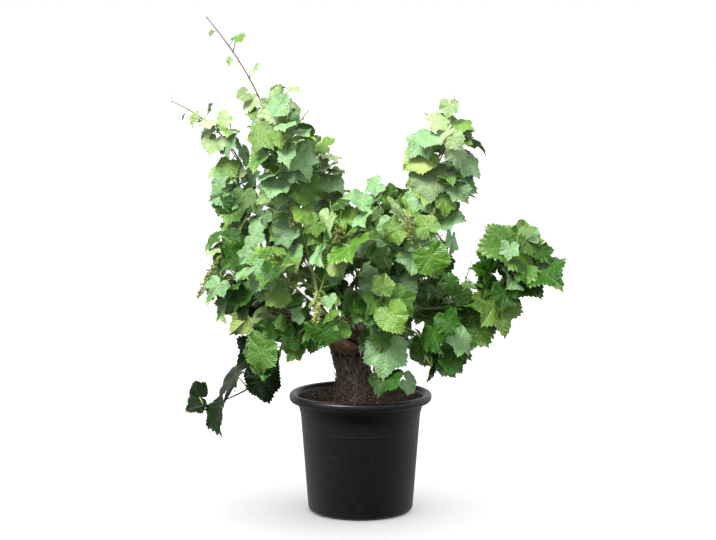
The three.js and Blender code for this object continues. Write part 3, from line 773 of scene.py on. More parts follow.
# %% A face of a leaf
def leaf_finish(name, body, other, vein, rough, sunk, gloss):
    """One face of a leaf. Its veins are sunk into the upper face and stand out from the lower."""
    made, tree, shader, place = finish(name, 1.45)
    shader.inputs["Specular IOR Level"].default_value = gloss
    blade = add(tree, "Attribute", attribute_name="blade").outputs["Vector"]
    parts = add(tree, "SeparateXYZ", {0: blade}).outputs
    blotch = add(tree, "TexNoise", {"Vector": place, "Scale": 1000 / BLOTCH_MM, "Detail": 5.0,
                                    "Roughness": 0.65}).outputs[0]
    along, across = place_in_lobe(tree, blade, parts)
    main, veins, between = leaf_veins(tree, along, across, blotch)
    patch = add(tree, "MapRange", {0: blotch, 1: 0.36, 2: 0.64}).outputs[0]
    colour = add(tree, "Mix", {FACTOR: patch, FIRST: linear(body), SECOND: linear(other)},
                 data_type="RGBA").outputs[MIXED]
    value = add(tree, "MapRange", {0: parts[2], 3: 0.74, 4: 1.22}).outputs[0]
    colour = add(tree, "HueSaturation", {"Color": colour, "Value": value}).outputs[0]
    faint = add(tree, "Math", {0: veins, 1: VEIN_SHOWS}, operation="MULTIPLY").outputs[0]
    colour = add(tree, "Mix", {FACTOR: faint, FIRST: colour, SECOND: linear(vein)},
                 data_type="RGBA").outputs[MIXED]
    tree.links.new(colour, shader.inputs["Base Color"])
    dull = add(tree, "MapRange", {0: blotch, 3: rough - 0.09, 4: rough + 0.09}).outputs[0]
    tree.links.new(dull, shader.inputs["Roughness"])
    relief = leaf_relief(tree, place, main, between, blotch)
    bump = add(tree, "Bump", {"Height": relief, "Strength": 0.8, "Distance": BULGE_MM * MM},
               invert=not sunk)
    tree.links.new(bump.outputs[0], shader.inputs["Normal"])
    return made


# A kind is the colour of its upper face, a second tint, its veins, and the same for below.
LEAF_KINDS = {
    "grown": ("#406a1b", "#527f29", "#8ea85a", "#7b9a55", "#8aa464", "#a6b886"),
    "deep": ("#22480a", "#2f5e12", "#62843a", "#5a7a3e", "#68864c", "#8aa06e"),
    # A pale bluish green that is partly a real waxy bloom and partly painted sheen of the sky.
    "waxy": ("#669358", "#80a972", "#b4c898", "#7f9a66", "#8da576", "#a8ba92"),
    "fresh": ("#58802a", "#6c9336", "#a9be70", "#8fa65a", "#9db368", "#b4c48a"),
    "young": ("#85a15f", "#9ab57c", "#bccba0", "#98ad7a", "#a8b98e", "#b6c4a0"),
    "shaded": ("#0b1a05", "#102108", "#22391a", "#14260e", "#1b3014", "#2c4024"),
}
GLOSS = {"grown": 0.4, "deep": 0.3, "shaded": 0.08}  # leaves in the shade carry less wax
WAXY_ROUGH, DOWNY_ROUGH = 0.39, 0.66
WAXY_GLOSS, DOWNY_GLOSS = 0.5, 0.3
LEAF_FINISHES = {
    kind: (leaf_finish(f"vine leaf, {kind}, upper face", *colours[:3], WAXY_ROUGH, True,
                       GLOSS.get(kind, WAXY_GLOSS)),
           leaf_finish(f"vine leaf, {kind}, lower face", *colours[3:], DOWNY_ROUGH, False,
                       DOWNY_GLOSS))
    for kind, colours in LEAF_KINDS.items()
}
print(len(LEAF_FINISHES), "kinds of leaf")

# %% [markdown]
# ### Green wood, bark, moulded plastic and compost
#
# These share one recipe: two colours mixed by a noise, a third laid where each point's stored
# share says, a roughness that wanders a little, and a bump from a finer noise. Only the wood
# stores a share, and there the third colour is painted shade, dark in the bark's cracks and
# along the groove round the burr. Young stems are smooth and slightly glossy, dead bark is dry
# and rough, polypropylene has a satin skin from its mould with dust and scuffs, and compost has
# no gloss at all.

# %% Finishes from a shared recipe
def grained(name, first, second, third, ior, rough, size_mm, stretch, grain_mm, depth_mm):
    """size_mm is the width of the colour patches, grain_mm of the bumps, depth_mm their depth."""
    made, tree, shader, place = finish(name, ior)
    drawn = add(tree, "VectorMath", {0: place, 1: (1, 1, 1 / stretch)},
                operation="MULTIPLY").outputs[0]
    patch = add(tree, "TexNoise", {"Vector": drawn, "Scale": 1000 / size_mm, "Detail": 5.0,
                                   "Roughness": 0.62}).outputs[0]
    share = add(tree, "MapRange", {0: patch, 1: 0.36, 2: 0.66}).outputs[0]
    colour = add(tree, "Mix", {FACTOR: share, FIRST: linear(first), SECOND: linear(second)},
                 data_type="RGBA").outputs[MIXED]
    # The third colour covers the rest where the stored share is high: painted shade in the wood's
    # cracks.
    relief = add(tree, "SeparateXYZ", {
        0: add(tree, "Attribute", attribute_name="blade").outputs["Vector"]}).outputs[2]
    marks = add(tree, "MapRange", {0: relief, 1: 0.0, 2: 1.0}).outputs[0]
    colour = add(tree, "Mix", {FACTOR: marks, FIRST: colour, SECOND: linear(third)},
                 data_type="RGBA").outputs[MIXED]
    tree.links.new(colour, shader.inputs["Base Color"])
    dull = add(tree, "MapRange", {0: patch, 3: rough - 0.08, 4: min(rough + 0.08, 1)}).outputs[0]
    tree.links.new(dull, shader.inputs["Roughness"])
    grain = add(tree, "TexNoise", {"Vector": drawn, "Scale": 1000 / grain_mm, "Detail": 3.0,
                                   "Roughness": 0.7}).outputs[0]
    bump = add(tree, "Bump", {"Height": grain, "Strength": 0.7, "Distance": depth_mm * MM})
    tree.links.new(bump.outputs[0], shader.inputs["Normal"])
    return made


GREEN_STEM = grained("green vine stem", "#7c9652", "#97a762", "#6b5a3a", 1.45, 0.48, 9, 5, 1.2,
                     0.15)
PALE_STALK = grained("leaf stalk", "#93a866", "#b2be84", "#6b5a3a", 1.45, 0.5, 9, 5, 1.2, 0.15)
BROWN_STEM = grained("ripening vine stem", "#5a4a30", "#6f6a3e", "#3b2c1e", 1.45, 0.5, 9, 5, 1.2,
                     0.15)
DARK_STEM = grained("shaded vine stem", "#2d3320", "#3f3a26", "#231a12", 1.45, 0.52, 9, 5, 1.2,
                    0.15)
# The third colour of each bark is painted shade, laid in its cracks.
BARK = grained("old vine bark", "#3f332a", "#8a7b6b", "#120c08", 1.5, 0.88, 5, 3, 1.4, 1.0)
BURR_BARK = grained("smoother bark of a burr", "#71563f", "#96795f", "#1f140e", 1.5, 0.8, 7, 3,
                    1.4, 0.8)
PEEL = grained("peeling vine bark", "#7c6a59", "#4e4035", "#33261c", 1.5, 0.86, 4, 6, 1.0, 0.6)
SAWN = grained("sawn vine wood", "#9c7350", "#b58a62", "#5a3f2a", 1.5, 0.8, 5, 1, 1.2, 0.4)
POT_SKIN = grained("satin polypropylene", "#0a0a0a", "#0e0e0e", "#161616", 1.49, 0.38, 22, 1, 0.8,
                   0.05)
COMPOST = grained("peat compost", "#382c21", "#503f30", "#19130e", 1.5, 0.95, 8, 1, 1.8, 1.0)
BARK_CHIP = grained("bark chip", "#6b4f37", "#8a6a4e", "#2c2017", 1.5, 0.9, 4, 1, 1.2, 0.5)
GRIT = grained("pale grit", "#8d8578", "#a39a8c", "#5c564c", 1.54, 0.8, 3, 1, 0.8, 0.3)
BUD = grained("vine flower bud", "#a6b25c", "#c2ca7c", "#8a8c4a", 1.45, 0.55, 5, 1, 0.8, 0.1)
# A darker copy of the bud colour: painted shade for the clusters inside the crown.
SHADED_BUD = grained("flower bud in painted shade", "#7b8446", "#989a56", "#5d5632", 1.45, 0.6, 5, 1, 0.8,
                   0.1)
print("fourteen plainer finishes")

# %% [markdown]
# ## Leaf blades
#
# A blade could be a flat card with a cut-out picture. A mesh cut to the leaf's own outline keeps
# its teeth from every side and needs no picture. It is a fan of rays from the stalk's end: every
# second ray ends in a tooth's tip and the others in the notches between. Rings across the rays
# let it cup, fold and wave. Both faces are there, a fraction of a millimetre apart.

# %% Blade mesh
REACH_AT = (0, 29, 57, 89, 121, 150, 171, 180)  # degrees from the midrib
DETAIL = {"fine": ((12, 14, 10), (0.2, 0.4, 0.6, 0.8, 1)), "coarse": ((6, 8, 6), (0.45, 1))}
BLADE_THICK = 0.7
TOOTH_OUT, TOOTH_IN = 0.04, 0.045  # tips and notches of the teeth, in the blade's length
TOOTHLESS = 3.0  # radians from the midrib, where the two edges meet at the stalk
PLEAT, VALLEY, EDGE_WAVE, CRUMPLE = 0.006, 0.06, 0.035, 0.022  # heights, in the blade's length


def blade_grid(counts, rings):
    """Angles of the rays, and faces of the upper side, then of the lower."""
    edges = (0, 57, 121, 180)
    half = np.concatenate([np.linspace(edges[i], edges[i + 1], counts[i], endpoint=i == 3)
                           for i in range(3)] + [[180.0]])
    angles = np.radians(np.concatenate([half, -half[1:-1][::-1]]))
    n, inner = len(angles), len(rings) - 1
    ring, following = ring_of(n)
    sides = []
    for side in range(2):
        # Points: both centres, the upper inner rings, the lower inner rings, the shared rim.
        starts = [2 + (side * inner + i) * n for i in range(inner)] + [2 + 2 * inner * n]
        fan = np.stack([np.full(n, side), starts[0] + ring, starts[0] + following], 1)
        walls = [np.stack([a + ring, b + ring, b + following, a + following], 1)
                 for a, b in zip(starts, starts[1:])]
        blocks = [fan] + walls
        sides.append([block[:, ::-1] for block in blocks] if side else blocks)
    return angles, sides


GRIDS = {name: blade_grid(*detail) for name, detail in DETAIL.items()}
print(*[f"{name}: {len(angles)} rays" for name, (angles, _) in GRIDS.items()])


# %% Outline and bends of a blade
def toothed(leaf, seed, angles, rings):
    """How far each ring reaches along each ray, in the blade's length."""
    item, n = leaf["item"], len(angles)
    w = lambda k: spread(seed, item, k)
    open_by = -0.01 + 0.1 * w(1)
    reach = np.where(
        angles >= 0,
        np.interp(np.degrees(abs(angles)), REACH_AT,
                  (1.0, 0.74 + open_by, 0.89, 0.72 + open_by, 0.81, 0.66, 0.42, 0.1)),
        np.interp(np.degrees(abs(angles)), REACH_AT,
                  (1.0, 0.75 + open_by, 0.87 + 0.05 * w(2), 0.7 + open_by, 0.82, 0.64, 0.4, 0.1)))
    jag = np.sin(np.arange(n) * 12.9898 + item * 7.3 + seed) * 43758.5453
    jag = 0.4 + 1.1 * (jag - np.floor(jag))
    teeth = np.where(np.arange(n) % 2 == 0, TOOTH_OUT, -TOOTH_IN) * jag
    teeth[abs(angles) > TOOTHLESS] = 0
    return rings[:, None] * reach * (1 + teeth * rings[:, None] ** 3)


def bent(leaf, seed, x, y):
    """How high the blade lies over its own plane, in its length."""
    c, w = (lambda k: chance(seed, leaf["item"], k)), (lambda k: spread(seed, leaf["item"], k))
    r2, turn = x * x + y * y, np.arctan2(y, x)
    whole = abs(turn)
    folded = whole
    for edge, step in LOBE_FOLDS:
        folded = folded - step * (whole > edge)
    valley = np.sqrt(r2) * abs(np.sin(folded))
    pleat = np.sqrt(r2) * (np.cos(folded) - SLANT * abs(np.sin(folded))) * SIDE_VEINS
    height = -leaf["cup"] * r2 + PLEAT * np.abs(np.sin(math.pi * pleat)) * np.sqrt(r2)
    height += VALLEY * np.sqrt(np.minimum(valley, 0.2) / 0.2) * np.minimum(1, 3 * r2)
    # The halves fold up and the blade twists, its tip droops, and its edge waves slowly.
    height += (0.12 + 0.22 * w(3)) * abs(y) * np.sqrt(r2) + 0.22 * w(9) * x * y
    height -= (0.04 + 0.22 * c(4)) * np.maximum(0, x) ** 3
    height += (0.04 + 0.07 * c(5)) * r2 * np.sin(4 * turn + 6.28 * c(6))
    height += EDGE_WAVE * r2 * np.sin(9 * turn + 6.28 * c(7))
    crumple = np.sin(8 * x + 6.28 * c(10)) * np.sin(9 * y + 6.28 * c(11))
    height += CRUMPLE * crumple * np.sqrt(r2)
    return height


print("teeth are about", round(100 * (TOOTH_OUT + TOOTH_IN)), "percent of a blade's length")


# %% One whole blade
def blade(leaf, detail):
    """Points, places and faces of one leaf, bent as its own seeds say."""
    seed = SHOOTS[leaf["shoot"]]["seed"] + OWN["blade"]
    angles, sides = GRIDS[detail]
    across = toothed(leaf, seed, angles, np.array(DETAIL[detail][1]))
    x = np.concatenate([[0], (across * np.cos(angles)).ravel()])
    y = np.concatenate([[0], (across * np.sin(angles)).ravel()])
    height, r2 = bent(leaf, seed, x, y), x * x + y * y
    lift = BLADE_THICK / 2 / leaf["size"] * (1 - r2 / r2.max())
    inner = len(x) - len(angles)
    up = np.stack([x, y, height + lift], 1)
    down = np.stack([x, y, height - lift], 1)
    local = np.vstack([up[:1], down[:1], up[1:inner], down[1:inner], up[inner:]])
    points = leaf["base"] + leaf["size"] * local @ np.array(leaf["frame"])
    places = local.copy()
    places[:, 2] = chance(seed, leaf["item"], 8)  # how light or dark the whole leaf is
    return points, places, sides


print("the first blade has", len(blade(LEAVES[0], "fine")[0]), "points")

# %% [markdown]
# No two leaves of a vine are the same green, and young tips are pale. The greens also stand in
# for light and shade: the pale bluish bloom green and the fresh green are dealt more often high
# in the crown, as painted light and painted sheen of the sky, and the deep green low in the
# crown, as painted shade. The draw's shares change with the height, and the sides of the crown
# count as lower down and its middle as higher up than they are, which paints more shade at the
# sides and more light in the middle.

# %% Colours of the leaves
# Where each shoot's pale tip begins, above which height, and the share of young leaves there.
PALE_FROM = {"tall_left": 0.6, "far_left": 0.62, "far_right": 0.95}
PALE_ABOVE, YOUNG = 640, {"tall_left": 0.85, "far_left": 0.85, "tall_right": 0.2}
PALE_ELSEWHERE, YOUNG_ELSEWHERE, PALE_UNDER_SIZE = 0.86, 0.6, 26
# The colours from the top of the crown down, as shares of the draw. The rest is deep. The
# paler greens high up are painted light, and the deep ones low down painted shade.
SHARES = ((930, (("young", 0.22), ("fresh", 0.36), ("waxy", 0.86), ("grown", 0.98))),
          (780, (("young", 0.05), ("fresh", 0.22), ("waxy", 0.64), ("grown", 0.92))),
          (640, (("fresh", 0.1), ("waxy", 0.42), ("grown", 0.78))),
          (500, (("fresh", 0.06), ("waxy", 0.16), ("grown", 0.52))),
          (-200, (("fresh", 0.05), ("waxy", 0.12), ("grown", 0.4))))
# Below 900 mm, leaves left of x = -290 and right of x = 220 count as 330 and 150 mm lower, for
# painted shade at the sides. Between x = -190 and 110 and above 640 mm, they count as at least 790
# mm high, for painted light in the middle.
PAINTED_SHADE_LEFT, PAINTED_SHADE_RIGHT, SIDES_BELOW = (-290, 330), (220, 150), 900  # place and lowering
PAINTED_LIGHT_FROM, PAINTED_LIGHT_TO, PAINTED_LIGHT_ABOVE, PAINTED_LIGHT_AS = -190, 110, 640, 790


def kind_of(leaf):
    """The leaf's colour: pale at the tips, elsewhere by height, with painted shade low and at
    the sides and painted light high and in the middle.
    """
    draw = chance(SHOOTS[leaf["shoot"]]["seed"] + OWN["colour"], leaf["item"], 1)
    # The low left shoot hangs in the shade, and all its leaves take the near-black shaded colours:
    # painted shade.
    if leaf["shoot"] == "low_left":
        return "shaded"
    pale = leaf["t"] > PALE_FROM.get(leaf["shoot"], PALE_ELSEWHERE)
    if (pale or leaf["size"] < PALE_UNDER_SIZE) and leaf["base"][2] > PALE_ABOVE:
        return "young" if draw < YOUNG.get(leaf["shoot"], YOUNG_ELSEWHERE) else "fresh"
    x, _, height = leaf["base"]
    if height < SIDES_BELOW:
        height -= PAINTED_SHADE_LEFT[1] * (x < PAINTED_SHADE_LEFT[0]) + PAINTED_SHADE_RIGHT[1] * (x > PAINTED_SHADE_RIGHT[0])
    if PAINTED_LIGHT_FROM < x < PAINTED_LIGHT_TO and height > PAINTED_LIGHT_ABOVE:
        height = max(height, PAINTED_LIGHT_AS)
    table = next(shares for above, shares in SHARES if height > above)
    return next((kind for kind, upto in table if draw < upto), "deep")


print("a leaf at the top of the crown is", kind_of(max(LEAVES, key=lambda q: q["base"][2])))

# %% Leaves
TURNED, TURNED_ABOVE = 0.08, 640  # share of the leaves that the wind has turned over, and where
FINE_BLADE_FROM = 46
blades = {kind: Heap() for kind in LEAF_KINDS}
for leaf in LEAVES:
    kind, item = kind_of(leaf), leaf["item"]
    detail = "fine" if leaf["size"] > FINE_BLADE_FROM else "coarse"
    points, places, (upper, lower) = blade(leaf, detail)
    windy = kind != "shaded" and leaf["base"][2] > TURNED_ABOVE
    over = windy and chance(SHOOTS[leaf["shoot"]]["seed"] + OWN["turned"], item, 2) < TURNED
    heap = blades[kind]
    start = heap.count
    heap.add(points, upper, int(over), places)
    for block in lower:
        heap.faces.append(block + start)
        heap.slots.append(np.full(len(block), 1 - int(over)))

FOLIAGE = [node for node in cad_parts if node.startswith("foliage_")]
for kind, heap in blades.items():
    dress(heap.make("leaves_" + kind, LEAF_FINISHES[kind]), "foliage", *FOLIAGE)

# %% [markdown]
# ## Stems, stalks and tendrils
#
# A vine's shoot swells a little where each leaf joins it. Curves with a bevel would make stems
# quickly, but their swellings need a radius at each point, so each stem is a tube along the line
# that the rule gives. The shoots that ripen to brown go into their own heap.

# %% Stems
RIPE_FROM = {"tall_left": 0.5, "far_left": 0.5, "tall_right": 0.88, "upper_middle": 0.8}
STEM_FOOT_R, STEM_TIP_R, STEM_EVERY = 4.6, 1.1, 5.0  # radii, and from one ring to the next
KNOT_SWELL, KNOT_LONG = 0.28, 4.5  # how much thicker a joint is, and how far that reaches
TWIG_R, FINE_TWIG_R = 2.6, 1.9
green, ripe, dark = Heap(), Heap(), Heap()


def drawn_stem(name):
    """A stem's points and radii, and how far along the shoot each of them is."""
    row = SHOOTS[name]
    line = stem_line(row, 20)
    lengths = lengths_of(line)
    total = lengths[-1]
    at = np.arange(0, total, STEM_EVERY)
    points = point_at(line, lengths, at)
    start = STEM["bare"] * total
    phase = (at - start) / row["step"] - 0.5
    near = phase - np.round(phase)
    radii = STEM_FOOT_R + (STEM_TIP_R - STEM_FOOT_R) * (at / total) ** 0.85
    radii = radii * (1 + KNOT_SWELL * np.exp(-((near * row["step"] / KNOT_LONG) ** 2)))
    return points, radii, at / total


for name in SHOOTS:
    points, radii, share = drawn_stem(name)
    ripe_from = RIPE_FROM.get(name, 1.01)
    if name == "low_left":
        dark.add(*tube(points, radii, 8))
        continue
    first = share <= ripe_from + 0.01
    green.add(*tube(points[first], radii[first], 8))
    if (~first).sum() > 2:
        last = share >= ripe_from
        ripe.add(*tube(points[last], radii[last], 8))

for name, sprout in SPROUTS.items():
    heap = dark if name == "low_left" else green
    sizes = [(line, TWIG_R) for line in sprout["twigs"]]
    sizes += [(line, FINE_TWIG_R) for line in sprout["fine"]]
    for line, radius in sizes:
        heap.add(*tube(line, np.linspace(radius, radius * 0.5, len(line)), 6))
print(sum(heap.triangles() for heap in (green, ripe, dark)), "triangles of stems and twigs")

# %% [markdown]
# A leaf stalk is thin and pale, arches slightly, and widens at both ends where it can bend.
# Tendrils spring opposite some leaves, reach out and end in a curl that grips what it meets.

# %% Stalks
STALK_R, STALK_GROWS, STALK_WIDEST = 0.95, 0.75, 110  # radius in mm, and for each 100 mm of leaf
STALK_SHAPE = np.array([1.5, 1.05, 0.95, 0.9, 0.95, 1.1])
stalks = Heap()


def arched(start, end, rise, count):
    t = np.linspace(0, 1, count)[:, None]
    return start * (1 - t) + end * t + np.array([0, 0, 4 * rise]) * t * (1 - t)


for leaf in LEAVES:
    along, _, normal = leaf["frame"]
    end = leaf["base"] + along * 0.03 * leaf["size"] - normal * 0.3
    length = np.linalg.norm(end - leaf["node"])
    line = arched(leaf["node"], end, 0.05 * length, 6)
    wide = STALK_R + STALK_GROWS * min(leaf["size"], STALK_WIDEST) / 100
    stalks.add(*tube(line, wide * STALK_SHAPE, 6))
print(len(LEAVES), "stalks")


# %% Tendrils
def tendril(start, out, length, turns, wide, hand):
    """A tendril runs out, droops, and ends in a flat spiral."""
    t = np.linspace(0, 1, 12)[:, None]
    run = start + out * length * t + np.array([0, 0, -0.25 * length]) * t * t
    ahead = unit(run[-1] - run[-2])
    down = unit(np.cross(ahead, np.cross((0.1, 0.2, 1.0), ahead))) * hand
    a = np.linspace(0, turns * 2 * math.pi, int(12 * turns) + 2)[1:, None]
    r = wide * (1 - 0.55 * a / a[-1])
    curl = run[-1] + ahead * np.sin(a) * r + down * (wide - np.cos(a) * r)
    line = np.vstack([run, curl])
    return tube(line, np.linspace(1.0, 0.45, len(line)), 5)


TENDRIL_SHARE = 0.3  # of the joints
curls = Heap()
for name, row in SHOOTS.items():
    line = LINES[name]
    lengths = lengths_of(line)
    total = lengths[-1]
    for k in range(int((total * (1 - STEM["bare"])) / row["step"])):
        c = lambda draw: chance(row["seed"] + OWN["tendril"], k, draw)
        at = STEM["bare"] * total + (k + 0.5) * row["step"]
        if c(1) > TENDRIL_SHARE or at < 0.25 * total:
            continue
        p = point_at(line, lengths, at)
        out = unit(light_at(p) + 1.4 * np.array([c(2) - 0.5, c(3) - 0.5, 0.8 * c(4) - 0.4]))
        length = 35 + 45 * c(5)
        if fits(name, np.array([p + out * length, p + out * (length + 16)])):
            curls.add(*tendril(p, out, length, 0.8 + 1.4 * c(6), 5 + 4 * c(7),
                               1 if c(8) < 0.5 else -1))

for heap, name, skin in ((green, "green_stems", GREEN_STEM), (ripe, "ripening_stems", BROWN_STEM),
                         (dark, "shaded_stems", DARK_STEM), (stalks, "leaf_stalks", PALE_STALK),
                         (curls, "tendrils", PALE_STALK)):
    dress(heap.make(name, [skin]), "foliage", *FOLIAGE)

# %% [markdown]
# ## Flower clusters
#
# Before it opens, a vine's flower cluster is a branched stalk set with hundreds of round buds the
# size of a peppercorn. It is a spindle: short arms leave the main stalk in a spiral, longest
# near the top, and each ends in a knot of buds. A scatter of instances would be lighter, but the
# joined mesh exports as it is seen, and small faceted balls are enough for the buds. One cluster
# is swung out in front of the leaves that would hide it, and gets more light. Its buds take a
# paler copy of the bud colour, as painted light, and the buds of the clusters inside the crown
# a darker copy, as painted shade.

# %% A ball with few faces
def ball(rings=4, sides=7):
    """Points and faces of a ball of radius 1."""
    points = [(0, 0, 1.0)]
    for i in range(1, rings):
        a = math.pi * i / rings
        points += [(math.sin(a) * math.cos(b), math.sin(a) * math.sin(b), math.cos(a))
                   for b in circle(sides)]
    points.append((0, 0, -1.0))
    ring, following = ring_of(sides)
    last = 1 + (rings - 2) * sides
    walls = [np.stack([1 + i * sides + ring, 1 + (i + 1) * sides + ring,
                       1 + (i + 1) * sides + following, 1 + i * sides + following], 1)
             for i in range(rings - 2)]
    caps = np.vstack([np.stack([np.zeros(sides, int), 1 + ring, 1 + following], 1),
                      np.stack([np.full(sides, last + sides), last + following, last + ring], 1)])
    return np.array(points), walls + [caps]


BALL = ball(3, 6)
print(len(BALL[0]), "points a bud")

# %% Buds on their branched stalks
BUD_R = 2.2
ARM_EVERY = 3.2  # along the cluster's stalk
BUDS_AT_END, BUDS_AT_SHOULDER = 8, 8  # on the shortest arm, and how many more on the longest
GOLDEN = 2.4  # radians from one arm to the next, so that no two stand over each other
FORWARD = {"front_screen": np.array([-12, -70, 0])}  # swung out in front of its neighbours
lit_buds, shaded_buds, rachis = Heap(), Heap(), Heap()
for name in SHOOTS:
    seed = SHOOTS[name]["seed"] + OWN["cluster"]
    for number, cluster in enumerate(BUNCHES[name]):
        top, down, length = cluster["top"], cluster["down"], cluster["length"]
        top = top + FORWARD.get(name, np.zeros(3))
        across = unit(np.cross(down, (0.2, 1, 0.1)))
        over = np.cross(down, across)
        rachis.add(*tube(arched(cluster["node"], top, 4, 5), np.full(5, 1.5), 6))
        rachis.add(*tube(np.array([top, top + down * length]), np.array([1.5, 0.7]), 6))
        # The cluster out in the open gets the paler buds, painted light, and the others the darker
        # copy, painted shade.
        heap = lit_buds if name == "front_screen" else shaded_buds
        arms = int(length / ARM_EVERY)
        for k in range(arms):
            c = lambda draw: chance(seed + 10 * number, k, draw)
            s = (k + 0.5) / arms
            shoulder = min(1, s / 0.12) * (1 - s) ** 0.55
            reach = cluster["radius"] * (0.55 + 0.6 * c(1)) * (0.25 + shoulder)
            turn = GOLDEN * k + c(2)
            out = unit(across * math.cos(turn) + over * math.sin(turn) + down * 0.35)
            root = top + down * s * length
            rachis.add(*tube(np.array([root, root + out * reach]), np.array([0.7, 0.4]), 4))
            for j in range(BUDS_AT_END + int(BUDS_AT_SHOULDER * shoulder)):
                w = lambda draw: spread(seed + 10 * number, 50 + k, 10 * j + draw)
                at = root + out * reach * (0.25 + 0.75 * abs(w(4)))
                at = at + np.array([w(1), w(2), w(3)]) * (2.0 + 2.4 * shoulder)
                heap.add(at + BALL[0] * BUD_R * (0.8 + 0.25 * w(5)), BALL[1])

for heap, name, skin in ((lit_buds, "flower_buds", BUD), (shaded_buds, "buds_in_painted_shade", SHADED_BUD),
                         (rachis, "cluster_stalks", GREEN_STEM)):
    dress(heap.make(name, [skin]), "foliage", *FOLIAGE)

# %% [markdown]
# ## Trunk and arms
#
# The old wood is thick for its height, with a flared foot, a slanting knuckle where it was pruned
# for years, and stringy bark split along the grain. Sculpting would do it once; here tubes are
# fused by a voxel remesh, so that arms grow out of the head without a seam. Each point is then
# moved along its normal by noises drawn in the grain's own directions: round the nearest limb in
# strings 6.5 mm wide, and about three times as long along it.

# %% Trunk and limbs
HEAD_FROM, SWELL_AT, SWELL_LONG = 176, 165, 48  # heights over the soil: the rounded head
FLARE_LONG = 30  # how far up the foot's flare and its roots are felt


def trunk_tube(sides=48):
    """The trunk's middle line and, for each ring, a radius at each of its sides."""
    height = HEAD[2] - FOOT[2]
    top = height + TRUNK["crown"]
    steps = np.concatenate([np.arange(-10, 204, 7.0), [208, 216, 222, 227, 230, 232]])
    turn = circle(sides)
    line, radii = [], []
    for h in steps:
        low = max(h, 0)
        t = low / (NECK[2] - FOOT[2])
        u = (low - (NECK[2] - FOOT[2])) / (HEAD[2] - NECK[2])
        x = FOOT[0] + (NECK[0] - FOOT[0]) * t if t < 1 else (
            NECK[0] + (HEAD[0] - NECK[0]) * min(u, 1))
        flare = math.exp(-low / FLARE_LONG)
        swell = TRUNK["neck_r"] + (TRUNK["flare_r"] - TRUNK["neck_r"]) * flare
        bulge = math.exp(-(((low - SWELL_AT) / SWELL_LONG) ** 2))
        swell += (TRUNK["head_r"] - TRUNK["neck_r"]) * bulge
        if h > HEAD_FROM:
            swell *= math.sqrt(max(0.01, 1 - ((h - HEAD_FROM) / (top - HEAD_FROM)) ** 2))
        ridge = 1 + TRUNK["gnarl"] * np.sin(3 * turn + low / 34)
        ridge += 0.5 * TRUNK["gnarl"] * np.sin(7 * turn - low / 21)
        root = 1 + 0.12 * np.cos(TRUNK["roots"] * turn + 0.6) * flare
        root += 0.1 * np.cos(turn + 0.5) * math.exp(-low / 42)
        line.append((x, 0, FOOT[2] + h))
        radii.append(swell * ridge * root)
    return np.array(line, float), np.array(radii)


def upright_rings(line, radii):
    """A tube whose rings stay level, as the trunk's do."""
    sides = radii.shape[1]
    turn = circle(sides)
    points, faces = tube(line, radii, sides)
    ring = np.stack([np.cos(turn), np.sin(turn), 0 * turn], 1)
    flat = line[:, None] + radii[:, :, None] * ring
    points[:len(line) * sides] = flat.reshape(-1, 3)
    return points, faces


def limb(arm):
    """An arm's middle line and its knobbly radii."""
    s = np.linspace(0, 1, 22)
    line = np.array([arm_point(arm, v) for v in s])
    turn = circle(20)
    phase = list(ARMS).index(arm)
    knot = 1 + 0.08 * np.sin(9 * s[:, None] + 2 * turn + phase)
    knot += 0.05 * np.sin(3 * turn - 14 * s[:, None])
    return line, (ARM["base_r"] + (ARM["tip_r"] - ARM["base_r"]) * s)[:, None] * knot


print("the trunk has", len(trunk_tube()[0]), "rings")

# %% Fused wood
SPUR_LONG, SPUR_FOOT_R, SPUR_TIP_R = 32, 9.5, 6.0  # the woody stub that each shoot leaves from
base = Heap()
axes = []
line, radii = trunk_tube()
base.add(*upright_rings(line, radii))
axes.append((line, radii.mean(1)))
burr_points, burr_faces = ball(14, 24)
tilt = math.radians(BURR["tilt"])
spin = np.array([[math.cos(tilt), 0, math.sin(tilt)], [0, 1, 0],
                 [-math.sin(tilt), 0, math.cos(tilt)]])
base.add(BURR["at"] + (burr_points * BURR["half"]) @ spin.T, burr_faces)
burr_line = BURR["at"] + np.linspace(-0.7, 0.7, 9)[:, None] * BURR["half"][0] * spin[:, 0]
axes.append((burr_line, np.full(9, 30.0)))
for arm in ARMS:
    line, radii = limb(arm)
    base.add(*tube(line, radii, radii.shape[1]))
    axes.append((line, radii.mean(1)))
for name, row in SHOOTS.items():
    stem = stem_line(row, 60)
    lengths = lengths_of(stem)
    spur = stem[lengths <= SPUR_LONG]
    radii = np.linspace(SPUR_FOOT_R, SPUR_TIP_R, len(spur))
    base.add(*tube(spur, radii, 12))

WOOD_VOXEL = 0.0017  # metres, fine enough for the strings of bark
rough_wood = base.make("rough_wood", [BARK])
remesh = rough_wood.modifiers.new("fuse", "REMESH")
remesh.mode = "VOXEL"
remesh.voxel_size = WOOD_VOXEL
ready = rough_wood.evaluated_get(bpy.context.evaluated_depsgraph_get())
fused = bpy.data.meshes.new_from_object(ready)


def read(items, field, width, kind):
    """One field of all the vertices, loops or polygons, as an array."""
    values = np.empty(len(items) * width, kind)
    items.foreach_get(field, values)
    return values.reshape(-1, width) if width > 1 else values


points = read(fused.vertices, "co", 3, float) / MM
normals = read(fused.vertices, "normal", 3, float)
corners = read(fused.loops, "vertex_index", 1, int)
sizes = read(fused.polygons, "loop_total", 1, int)
starts = np.concatenate([[0], np.cumsum(sizes)[:-1]])
bpy.data.objects.remove(rough_wood)
print(len(points), "points of fused wood")

